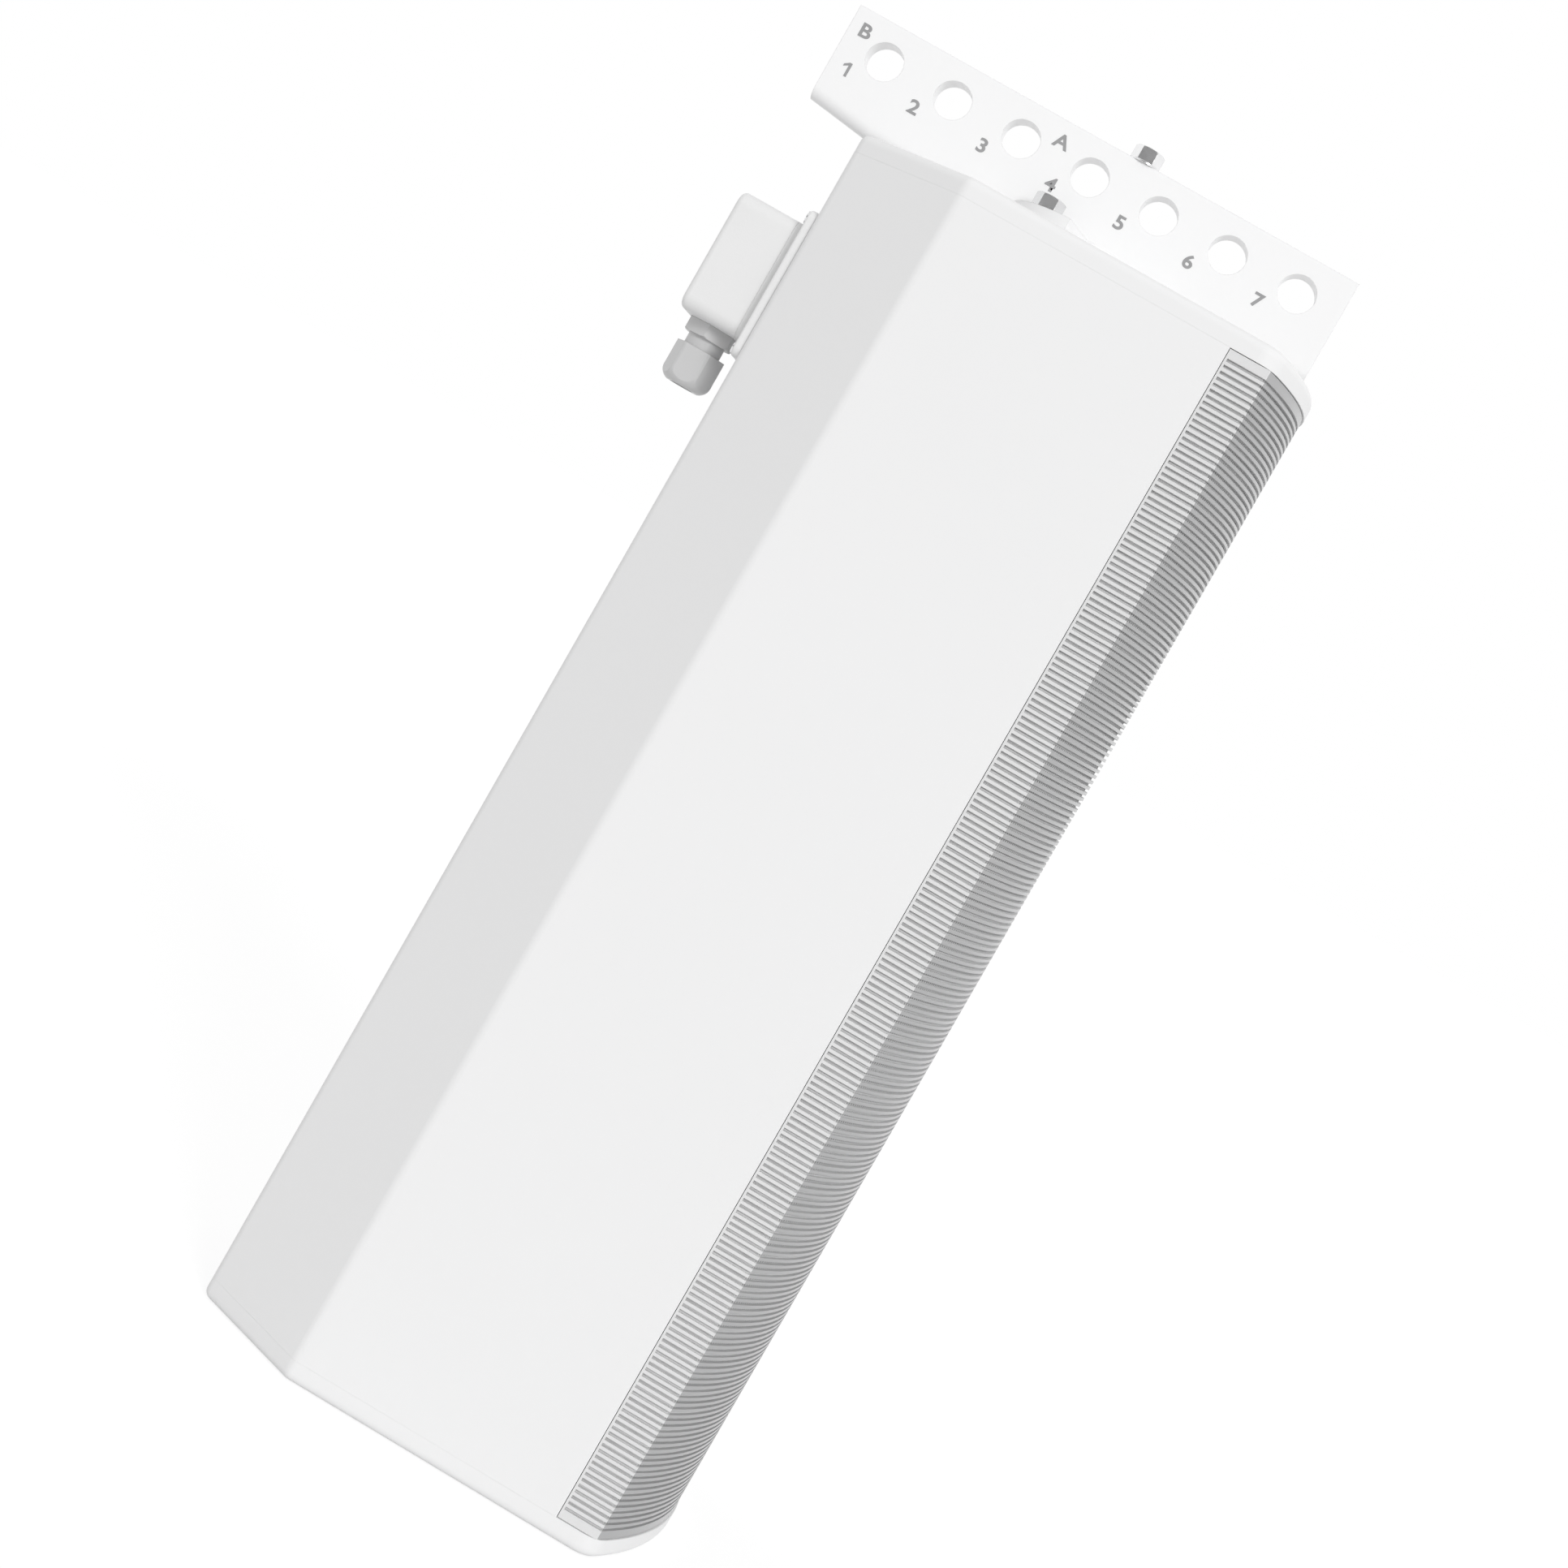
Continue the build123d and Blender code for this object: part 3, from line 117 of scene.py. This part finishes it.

# Paints of the cabinet and the grille; the grille has one paint shown as two colours: its grey is that paint
# with painted shade on the front, its white the same paint lit on the side strips
BODY_WHITE = (0.865, 0.865, 0.867)
RIGGING_WHITE = (0.925, 0.925, 0.927)
STRIP_LIT_WHITE = (0.75, 0.75, 0.752)
GRILLE_SHADED_GREY = (0.37, 0.372, 0.375)

# Powder coat: the size, depth and strength of its orange peel, and its tone's clouds and specks
PEEL_SCALE = 1400.0
PEEL_DEPTH = 0.000025
PEEL_STRENGTH = 0.5
PAINT_CLOUD = 5.0
PAINT_SPECK = 700.0
PAINT_ROUGH_SPREAD = 0.06

# A wave texture at a scale of 1 turns through this many radians in a metre
WAVE_RATE = 20.0


# ---------------------------------------------------------------- helpers


def add_object(name, data):
    """A new object in the scene."""
    made = bpy.data.objects.new(name, data)
    bpy.context.scene.collection.objects.link(made)
    return made


def feed(tree, socket, value):
    """Joins another node's output to a socket, or sets the socket's own value."""
    if isinstance(value, bpy.types.NodeSocket):
        tree.links.new(value, socket)
    else:
        socket.default_value = value


def add_node(tree, kind, inputs):
    """A node whose inputs, by name or place, take sockets, numbers or colours."""
    node = tree.nodes.new(kind)
    for label, value in inputs.items():
        feed(tree, node.inputs[label], value)
    return node


def math_node(tree, operation, values, clamp=False):
    """A Math node's result from up to three sockets or numbers."""
    node = tree.nodes.new("ShaderNodeMath")
    node.operation = operation
    node.use_clamp = clamp
    for place, value in enumerate(values):
        feed(tree, node.inputs[place], value)
    return node.outputs[0]


def dot_product(tree, first, second):
    """How far two directions agree: 1 where they are the same, 0 where they are square to each other."""
    node = tree.nodes.new("ShaderNodeVectorMath")
    node.operation = "DOT_PRODUCT"
    for place, value in enumerate((first, second)):
        feed(tree, node.inputs[place], value)
    return node.outputs["Value"]


def mix_colour(tree, factor, first, second):
    """A mix of two colours, each a socket or three numbers."""
    node = tree.nodes.new("ShaderNodeMix")
    node.data_type = "RGBA"
    feed(tree, node.inputs[0], factor)
    for place, colour in ((6, first), (7, second)):
        feed(tree, node.inputs[place], (*colour, 1.0) if isinstance(colour, tuple) else colour)
    return node.outputs[2]


def noise(tree, vector, scale, detail=2.0, rough=0.5):
    """A noise texture's value."""
    values = {"Vector": vector, "Scale": scale, "Detail": detail, "Roughness": rough}
    return add_node(tree, "ShaderNodeTexNoise", values).outputs["Fac"]


def stretch(tree, vector, scale):
    """The same coordinates, scaled along each axis."""
    return add_node(tree, "ShaderNodeMapping", {"Vector": vector, "Scale": scale}).outputs["Vector"]


def bands(tree, vector, direction, scale, distortion):
    """Light and dark bands that follow each other in one direction."""
    values = {"Vector": vector, "Scale": scale, "Distortion": distortion}
    node = add_node(tree, "ShaderNodeTexWave", values)
    node.wave_type = "BANDS"
    node.bands_direction = direction
    return node.outputs["Fac"]


# ---------------------------------------------------------------- shared effects


def new_group(name, inputs, outputs):
    """An empty node group; each input gives its name, kind and value, each output its name and kind."""
    group = bpy.data.node_groups.new(name, "ShaderNodeTree")
    for label, kind, value in inputs:
        socket = group.interface.new_socket(name=label, in_out="INPUT", socket_type=kind)
        if value is not None:
            socket.default_value = value
    for label, kind in outputs:
        group.interface.new_socket(name=label, in_out="OUTPUT", socket_type=kind)
    entry = group.nodes.new("NodeGroupInput")
    leave = group.nodes.new("NodeGroupOutput")
    return group, entry.outputs, leave.inputs


def make_tone_group():
    """Unevenness of a coat: slow clouds with a share of fine specks, as a value about 0.5."""
    speck_share = 0.3
    group, entry, leave = new_group(
        "coat_tone",
        [
            ("Vector", "NodeSocketVector", None),
            ("Cloud", "NodeSocketFloat", 6.0),
            ("Speck", "NodeSocketFloat", 900.0),
        ],
        [("Value", "NodeSocketFloat")],
    )
    clouds = noise(group, entry["Vector"], entry["Cloud"], detail=3.0)
    specks = noise(group, entry["Vector"], entry["Speck"], detail=1.0)
    fine = math_node(group, "MULTIPLY", (specks, speck_share))
    feed(group, leave["Value"], math_node(group, "MULTIPLY_ADD", (clouds, 1 - speck_share, fine)))
    return group


def make_edge_group():
    """How near a point is to an edge, as 0 on flats and up to 1 on edges, with the softened normal."""
    edge_samples = 4
    edge_gain = 4.0
    group, entry, leave = new_group(
        "worn_edges",
        [("Radius", "NodeSocketFloat", 0.0006)],
        [("Edge", "NodeSocketFloat"), ("Normal", "NodeSocketVector")],
    )
    bevel = add_node(group, "ShaderNodeBevel", {"Radius": entry["Radius"]})
    bevel.samples = edge_samples
    softened = bevel.outputs["Normal"]
    flat = group.nodes.new("ShaderNodeNewGeometry").outputs["Normal"]
    away = math_node(group, "SUBTRACT", (1.0, dot_product(group, softened, flat)))
    feed(group, leave["Edge"], math_node(group, "MULTIPLY", (away, edge_gain), clamp=True))
    feed(group, leave["Normal"], softened)
    return group


TONE = make_tone_group()
EDGE = make_edge_group()


def darker(colour, share):
    """A colour with a share of its light taken off."""
    return tuple(c * (1 - share) for c in colour)


def lighter(colour, share):
    """A colour with a share of its light added, up to full white."""
    return tuple(min(1.0, c * (1 + share)) for c in colour)


class Coat:
    """One material under construction: its tree, its shader and the object's own coordinates."""

    def __init__(self, name, roughness, metallic=0.0, edge_radius=0.0004):
        self.material = bpy.data.materials.new(name)
        self.material.use_nodes = True
        self.tree = self.material.node_tree
        self.shader = self.tree.nodes["Principled BSDF"]
        self.roughness = roughness
        self.set("Roughness", roughness)
        self.set("Metallic", metallic)
        self.vector = self.tree.nodes.new("ShaderNodeTexCoord").outputs["Object"]
        group = self.tree.nodes.new("ShaderNodeGroup")
        group.node_tree = EDGE
        group.inputs["Radius"].default_value = edge_radius
        self.edge = group.outputs["Edge"]
        self.normal = group.outputs["Normal"]

    def set(self, label, value):
        """Gives the shader a value, or a socket that it follows."""
        feed(self.tree, self.shader.inputs[label], value)

    def tone(self, cloud, speck):
        """The shared unevenness, at the scales given for its clouds and specks."""
        node = self.tree.nodes.new("ShaderNodeGroup")
        node.node_tree = TONE
        for label, value in (("Vector", self.vector), ("Cloud", cloud), ("Speck", speck)):
            feed(self.tree, node.inputs[label], value)
        return node.outputs["Value"]

    def grain(self, scale, detail=2.0, rough=0.5):
        """Noise in the object's own coordinates."""
        return noise(self.tree, self.vector, scale, detail, rough)

    def shaded(self, value, colour, spread):
        """The colour, darker where a value is low and lighter where it is high."""
        return mix_colour(self.tree, value, darker(colour, spread), lighter(colour, spread))

    def worn(self, base, colour, share, paler):
        """A base that turns towards a paler version of a colour by a share on its edges."""
        wear = math_node(self.tree, "MULTIPLY", (self.edge, share))
        return mix_colour(self.tree, wear, base, lighter(colour, paler))

    def rough(self, value, spread):
        """Roughness that follows a value, up to a spread below and above its middle."""
        limits = {"Value": value, "To Min": self.roughness - spread, "To Max": self.roughness + spread}
        self.set("Roughness", add_node(self.tree, "ShaderNodeMapRange", limits).outputs["Result"])

    def bump(self, height, distance, strength):
        """Adds relief over what is there already."""
        values = {"Height": height, "Distance": distance, "Strength": strength, "Normal": self.normal}
        self.normal = add_node(self.tree, "ShaderNodeBump", values).outputs["Normal"]

    def done(self):
        """Joins the last normal to the shader."""
        self.set("Normal", self.normal)
        return self.material


# ---------------------------------------------------------------- materials


def powder_coat(name, colour, roughness=0.42, spread=0.012, edge_radius=0.0006, gloss=0.35):
    """Smooth powder coat: faint orange peel, slow tone drift and paler worn edges."""
    coat = Coat(name, roughness, edge_radius=edge_radius)
    tone = coat.tone(PAINT_CLOUD, PAINT_SPECK)
    base = coat.shaded(tone, colour, spread)
    coat.set("Base Color", coat.worn(base, colour, share=0.25, paler=0.06))
    coat.rough(tone, PAINT_ROUGH_SPREAD)
    coat.bump(coat.grain(PEEL_SCALE), PEEL_DEPTH, PEEL_STRENGTH)
    coat.set("Specular IOR Level", gloss)
    return coat.done()


def two_tone_coat(name, ahead, behind, edge_y, roughness=0.32):
    """Powder coat of one paint shown as two colours that meet at a line across the object: painted shade on
    the part ahead of the line, lit paint on the part behind it.
    """
    ahead_spread = 0.04
    behind_spread = 0.015
    coat = Coat(name, roughness, edge_radius=0.0002)
    place = add_node(coat.tree, "ShaderNodeSeparateXYZ", {"Vector": coat.vector})
    # 1 on the lit side strips, 0 on the front that takes the painted shade
    lit_side_mask = math_node(coat.tree, "GREATER_THAN", (place.outputs["Y"], edge_y))
    tone = coat.tone(PAINT_CLOUD, PAINT_SPECK)
    dark = mix_colour(coat.tree, lit_side_mask, darker(ahead, ahead_spread), darker(behind, behind_spread))
    light = mix_colour(coat.tree, lit_side_mask, lighter(ahead, ahead_spread), lighter(behind, behind_spread))
    base = mix_colour(coat.tree, tone, dark, light)
    coat.set("Base Color", coat.worn(base, behind, share=0.12, paler=0.06))
    coat.rough(tone, PAINT_ROUGH_SPREAD)
    coat.bump(coat.grain(PEEL_SCALE), PEEL_DEPTH, PEEL_STRENGTH)
    coat.set("Specular IOR Level", 0.8)
    coat.set("Sheen Weight", 0.9)
    coat.set("Sheen Roughness", 0.28)
    return coat.done()


def plated_metal(name, colour, roughness=0.34, spread=0.12):
    """Plated metal: spangled tone, fine turned lines and brighter edges."""
    coat = Coat(name, roughness, metallic=1.0, edge_radius=0.0005)
    tone = coat.tone(cloud=120.0, speck=2500.0)
    base = coat.shaded(tone, colour, spread)
    coat.set("Base Color", coat.worn(base, colour, share=1.0, paler=0.35))
    coat.rough(tone, spread=0.10)
    turned = stretch(coat.tree, coat.vector, scale=(1.0, 1.0, 8.0))
    coat.bump(noise(coat.tree, turned, scale=900.0, detail=3.0), distance=0.00003, strength=0.5)
    return coat.done()


def moulded(name, colour, roughness=0.5, grain=0.00006):
    """Moulded plastic: spark-eroded grain, a slight flow tone and polished edges."""
    coat = Coat(name, roughness, edge_radius=0.0007)
    tone = coat.tone(cloud=20.0, speck=1200.0)
    base = coat.shaded(tone, colour, spread=0.03)
    coat.set("Base Color", coat.worn(base, colour, share=0.4, paler=0.12))
    coat.rough(tone, spread=0.07)
    coat.bump(coat.grain(scale=1800.0), distance=grain, strength=0.6)
    return coat.done()


def rubber(name, colour):
    """Matt rubber with a dusty bloom."""
    coat = Coat(name, roughness=0.75)
    tone = coat.tone(cloud=60.0, speck=2000.0)
    coat.set("Base Color", coat.shaded(tone, colour, spread=0.3))
    coat.rough(tone, spread=0.1)
    coat.bump(coat.grain(scale=2500.0), distance=0.00004, strength=0.5)
    return coat.done()


def woven(name, colour, thread=0.0006):
    """Open cloth: threads both ways over an uneven base, one every pi thread widths."""
    coat = Coat(name, roughness=0.9)
    scale = 2.0 / (WAVE_RATE * thread)
    threads = [bands(coat.tree, coat.vector, direction, scale, distortion=0.4) for direction in ("X", "Z")]
    weave = math_node(coat.tree, "MAXIMUM", threads)
    coat.set("Base Color", coat.shaded(weave, colour, spread=0.5))
    coat.bump(weave, distance=0.0002, strength=0.7)
    coat.set("Sheen Weight", 0.15)
    return coat.done()


def cellular(name, colour):
    """Open-cell foam: small pits over slow hollows."""
    pit_gain = 1.6
    coat = Coat(name, roughness=0.95)
    cells = add_node(coat.tree, "ShaderNodeTexVoronoi", {"Vector": coat.vector, "Scale": 420.0})
    pits = math_node(coat.tree, "MULTIPLY", (cells.outputs["Distance"], pit_gain), clamp=True)
    coat.set("Base Color", coat.shaded(pits, colour, spread=0.45))
    coat.bump(pits, distance=0.0008, strength=0.8)
    coat.bump(coat.grain(scale=60.0, detail=4.0), distance=0.0012, strength=0.5)
    return coat.done()


def stained_ply(name, colour):
    """Black-stained plywood: long upright grain."""
    coat = Coat(name, roughness=0.55)
    upright = stretch(coat.tree, coat.vector, scale=(60.0, 60.0, 3.0))
    grain = noise(coat.tree, upright, scale=5.0, detail=6.0, rough=0.65)
    coat.set("Base Color", coat.shaded(grain, colour, spread=0.45))
    coat.rough(grain, spread=0.12)
    coat.bump(grain, distance=0.00025, strength=0.6)
    return coat.done()


def pulp(name, colour):
    """Coated paper pulp with felted fibres."""
    coat = Coat(name, roughness=0.62)
    fibres = coat.grain(scale=380.0, detail=6.0, rough=0.7)
    coat.set("Base Color", coat.shaded(fibres, colour, spread=0.4))
    coat.rough(fibres, spread=0.08)
    coat.bump(fibres, distance=0.00025, strength=0.7)
    return coat.done()


def cast_dark(name, colour):
    """Ferrite and blackened steel: sintered speckle."""
    coat = Coat(name, roughness=0.55, metallic=0.3)
    speck = coat.grain(scale=900.0, detail=4.0)
    coat.set("Base Color", coat.shaded(speck, colour, spread=0.35))
    coat.rough(speck, spread=0.12)
    coat.bump(speck, distance=0.00012, strength=0.6)
    return coat.done()


def circuit_board(name, colour):
    """Green solder mask, paler over the copper tracks and darker in patches."""
    patch_colour = (0.0, 0.05, 0.02)
    patch_share = 0.25
    track_gain = 1.7
    track_lift = 0.02
    coat = Coat(name, roughness=0.3)
    upright = {"Vector": coat.vector, "Rotation": (radians(90), 0, 0)}
    turned = add_node(coat.tree, "ShaderNodeMapping", upright).outputs["Vector"]
    bricks = {
        "Vector": turned,
        "Scale": 55.0,
        "Mortar Size": 0.035,
        "Color1": (0, 0, 0, 1),
        "Color2": (0, 0, 0, 1),
        "Mortar": (1, 1, 1, 1),
    }
    tracks = add_node(coat.tree, "ShaderNodeTexBrick", bricks).outputs["Color"]
    over_tracks = tuple(min(1.0, c * track_gain + track_lift) for c in colour)
    base = mix_colour(coat.tree, tracks, colour, over_tracks)
    patches = math_node(coat.tree, "MULTIPLY", (coat.tone(cloud=30.0, speck=1500.0), patch_share))
    coat.set("Base Color", mix_colour(coat.tree, patches, base, patch_colour))
    coat.bump(tracks, distance=0.00006, strength=0.8)
    coat.set("Coat Weight", 0.4)
    return coat.done()


def wound_wire(name, colour):
    """Enamelled copper wire, wound in turns about each coil's axis."""
    coat = Coat(name, roughness=0.3, metallic=0.9)
    turns = bands(coat.tree, coat.vector, "Y", scale=45.0, distortion=0.6)
    coat.set("Base Color", coat.shaded(turns, colour, spread=0.3))
    coat.rough(turns, spread=0.08)
    coat.bump(turns, distance=0.0004, strength=0.8)
    return coat.done()


def ink(name, colour):
    """Printed mark: slightly uneven ink."""
    coat = Coat(name, roughness=0.6, edge_radius=0.0001)
    tone = coat.tone(cloud=200.0, speck=3000.0)
    coat.set("Base Color", coat.shaded(tone, colour, spread=0.15))
    coat.rough(tone, spread=0.08)
    return coat.done()


# The line where the grille's painted shade on the front meets its lit side strips
crease_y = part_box("front_grille")[1].y - GRILLE_RETURN
materials = {
    "cabinet_paint": powder_coat("cabinet_paint", BODY_WHITE, edge_radius=0.00025, gloss=0.15),
    "rigging_paint": powder_coat("rigging_paint", RIGGING_WHITE, roughness=0.38),
    "grille_metal": two_tone_coat("grille_metal", GRILLE_SHADED_GREY, STRIP_LIT_WHITE, crease_y),
    "zinc_steel": plated_metal("zinc_steel", (0.76, 0.76, 0.765), roughness=0.22),
    "box_plastic": moulded("box_plastic", (0.81, 0.81, 0.81)),
    "gland_plastic": moulded("gland_plastic", (0.60, 0.60, 0.602), roughness=0.36, grain=0.00004),
    "seal_rubber": rubber("seal_rubber", (0.035, 0.035, 0.036)),
    "cloth": woven("cloth", (0.46, 0.46, 0.462)),
    "foam": cellular("foam", (0.09, 0.09, 0.095)),
    "baffle_wood": stained_ply("baffle_wood", (0.035, 0.033, 0.031)),
    "basket_metal": powder_coat("basket_metal", (0.04, 0.04, 0.042), roughness=0.4, spread=0.2),
    "magnet": cast_dark("magnet", (0.09, 0.09, 0.092)),
    "cone_paper": pulp("cone_paper", (0.045, 0.045, 0.046)),
    "dome_silk": woven("dome_silk", (0.04, 0.04, 0.042), thread=0.0003),
    "driver_plastic": moulded("driver_plastic", (0.045, 0.045, 0.047)),
    "board": circuit_board("board", (0.03, 0.16, 0.07)),
    "brass_posts": plated_metal("brass_posts", (0.70, 0.52, 0.24), roughness=0.3, spread=0.06),
    "copper_wire": wound_wire("copper_wire", (0.62, 0.28, 0.13)),
    "capacitor_film": moulded("capacitor_film", (0.70, 0.52, 0.10), roughness=0.3, grain=0.00002),
    "terminal_plastic": moulded("terminal_plastic", (0.76, 0.76, 0.73)),
}
mark_ink = ink("mark_ink", (0.33, 0.33, 0.335))

slot_of = {row["node"]: row["material_slot"] for row in frame["record"]["subparts"]}
for name, node in nodes.items():
    node.data.materials.clear()
    node.data.materials.append(materials[slot_of[name]])


# ---------------------------------------------------------------- position marks


def figure_one():
    """A numeral one with a flag, one unit high."""
    mesh = bpy.data.meshes.new("mark")
    half = ONE_STROKE / 2
    tip = -half - ONE_FLAG
    stem = [(-half, 0), (half, 0), (half, 1), (-half, 1)]
    flag = [
        (-half, 1),
        (-half, 1 - ONE_STROKE * ONE_FLAG_ROOT),
        (tip, 1 - ONE_FLAG_DROP - ONE_STROKE),
        (tip, 1 - ONE_FLAG_DROP),
    ]
    points = [(x, y, 0) for x, y in stem + flag]
    mesh.from_pydata(points, [], [(0, 1, 2, 3), (4, 5, 6, 7)])
    return mesh


def figure(letter):
    """A flat letter or numeral from the built-in face, with its strokes made heavier."""
    curve = bpy.data.curves.new("mark", "FONT")
    curve.body = letter
    curve.align_x = "CENTER"
    curve.resolution_u = MARK_CURVE_STEPS
    curve.offset = MARK_WEIGHT
    holder = add_object("mark", curve)
    bpy.context.view_layer.update()
    shaped = holder.evaluated_get(bpy.context.evaluated_depsgraph_get())
    mesh = bpy.data.meshes.new_from_object(shaped)
    bpy.data.objects.remove(holder)
    return mesh


def mark_mesh(letter):
    """A flat printed character, centred on the origin, facing -X with its top along +Z."""
    mesh = figure_one() if letter == "1" else figure(letter)
    low = Vector([min(v.co[i] for v in mesh.vertices) for i in range(3)])
    high = Vector([max(v.co[i] for v in mesh.vertices) for i in range(3)])
    middle = (low + high) / 2
    scale = MARK_HEIGHT / (high.y - low.y)
    for v in mesh.vertices:
        flat = (v.co - middle) * scale
        v.co = (0.0, -flat.x * MARK_WIDEN, flat.y)
    return mesh


def position_marks():
    """The plain position marks: a number by each hole and a letter by two of them, on one piece."""
    face_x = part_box("rigging_bar")[0].x - MARK_PROUD
    mounts = frame["record"]["mounts"]
    holes = [Vector(m["pos_m"]) for m in mounts if m["name"].startswith("hanging_hole_")]
    marks = [(str(number), hole + NUMBER_OFFSET) for number, hole in enumerate(holes, 1)]
    marks += [(letter, holes[number - 1] + offset) for letter, number, offset in LETTERS]
    joined = bmesh.new()
    for letter, place in marks:
        mesh = mark_mesh(letter)
        mesh.transform(Matrix.Translation((face_x, place.y, place.z)))
        joined.from_mesh(mesh)
        bpy.data.meshes.remove(mesh)
    data = bpy.data.meshes.new("position_marks")
    joined.to_mesh(data)
    joined.free()
    data.materials.append(mark_ink)
    piece = add_object("position_marks", data)
    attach(piece, "rigging_bar")


position_marks()


# ---------------------------------------------------------------- stage


def seen_directly(tree):
    """1 where the camera, a gloss or a clear surface looks at the stage directly."""
    path = tree.nodes.new("ShaderNodeLightPath").outputs
    seen = math_node(tree, "MAXIMUM", (path["Is Camera Ray"], path["Is Glossy Ray"]))
    return math_node(tree, "MAXIMUM", (seen, path["Is Transmission Ray"]))


def mix_by_view(tree, lit, shown):
    """One shader for the light on the object and another for what is seen directly."""
    return add_node(tree, "ShaderNodeMixShader", {0: seen_directly(tree), 1: lit, 2: shown}).outputs[0]


def make_floor():
    """A white floor that keeps the object's shadow and melts into the white background."""
    mesh = bpy.data.meshes.new("floor")
    half = FLOOR_HALF
    corners = [(-half, -half, 0), (half, -half, 0), (half, half, 0), (-half, half, 0)]
    mesh.from_pydata(corners, [], [(0, 1, 2, 3)])
    floor = add_object("floor", mesh)
    floor.location.z = cad_low.z - FLOOR_GAP
    material = bpy.data.materials.new("floor_white")
    material.use_nodes = True
    tree = material.node_tree
    tree.nodes.clear()
    plain = add_node(tree, "ShaderNodeBsdfDiffuse", {"Color": FLOOR_WHITE}).outputs[0]
    kept = add_node(tree, "ShaderNodeBsdfDiffuse", {"Color": FLOOR_KEPT}).outputs[0]
    glow = add_node(tree, "ShaderNodeEmission", {"Strength": FLOOR_GLOW}).outputs[0]
    shown = add_node(tree, "ShaderNodeAddShader", {0: kept, 1: glow}).outputs[0]
    add_node(tree, "ShaderNodeOutputMaterial", {"Surface": mix_by_view(tree, plain, shown)})
    mesh.materials.append(material)


def unlit_side(tree):
    """Painted dark reflection: 1 where a gloss ray leaves towards a dark patch that only gloss sees, fading
    to 0 round it.
    """
    leaving = tree.nodes.new("ShaderNodeTexCoord").outputs["Generated"]
    fading = {
        "Value": dot_product(tree, leaving, DARK_REFLECTION_TOWARDS),
        "From Min": cos(radians(DARK_REFLECTION_REACH)),
        "From Max": cos(radians(DARK_REFLECTION_CORE)),
    }
    fade = add_node(tree, "ShaderNodeMapRange", fading)
    fade.interpolation_type = "SMOOTHSTEP"
    path = tree.nodes.new("ShaderNodeLightPath").outputs
    return math_node(tree, "MULTIPLY", (fade.outputs["Result"], path["Is Glossy Ray"]))


def make_world():
    """Even soft light, plain white where the camera sees past the object, and a painted dark reflection that
    only gloss sees.
    """
    world = bpy.data.worlds.new("studio")
    bpy.context.scene.world = world
    world.use_nodes = True
    tree = world.node_tree
    tree.nodes.clear()
    soft = add_node(tree, "ShaderNodeBackground", {"Color": (1, 1, 1, 1), "Strength": EVEN_LIGHT}).outputs[0]
    backdrop_and_dark_reflection = mix_colour(tree, unlit_side(tree), (1.0, 1.0, 1.0), DARK_REFLECTION_COLOUR)
    white = add_node(tree, "ShaderNodeBackground", {"Color": backdrop_and_dark_reflection, "Strength": 1.0}).outputs[0]
    add_node(tree, "ShaderNodeOutputWorld", {"Surface": mix_by_view(tree, soft, white)})


def make_sun(name, towards_light, strength, width):
    """A broad soft lamp, far away, that lights from a direction."""
    lamp = bpy.data.lights.new(name, "SUN")
    lamp.energy = strength
    lamp.angle = radians(width)
    holder = add_object(name, lamp)
    holder.rotation_mode = "QUATERNION"
    holder.rotation_quaternion = Vector(towards_light).to_track_quat("Z", "Y")


def make_camera():
    """The camera at its place, turned by its yaw and pitch and rolled about its own axis."""
    yaw, pitch, roll = (radians(a) for a in (CAMERA_YAW, CAMERA_PITCH, CAMERA_ROLL))
    ahead = Vector((cos(pitch) * cos(yaw), cos(pitch) * sin(yaw), sin(pitch)))
    level_right = ahead.cross(Vector((0, 0, 1))).normalized()
    level_up = level_right.cross(ahead)
    right = cos(roll) * level_right + sin(roll) * level_up
    up = cos(roll) * level_up - sin(roll) * level_right
    data = bpy.data.cameras.new("camera")
    data.lens = CAMERA_LENS
    data.sensor_width = CAMERA_SENSOR
    data.shift_x, data.shift_y = CAMERA_SHIFT
    data.clip_start, data.clip_end = CAMERA_CLIP
    camera = add_object("camera", data)
    turn = Matrix((right, up, -ahead)).transposed().to_4x4()
    camera.matrix_world = Matrix.Translation(CAMERA_PLACE) @ turn
    bpy.context.scene.camera = camera


make_floor()
make_world()
for lamp in LAMPS:
    make_sun(*lamp)
make_camera()
bpy.context.scene.view_settings.view_transform = "Standard"
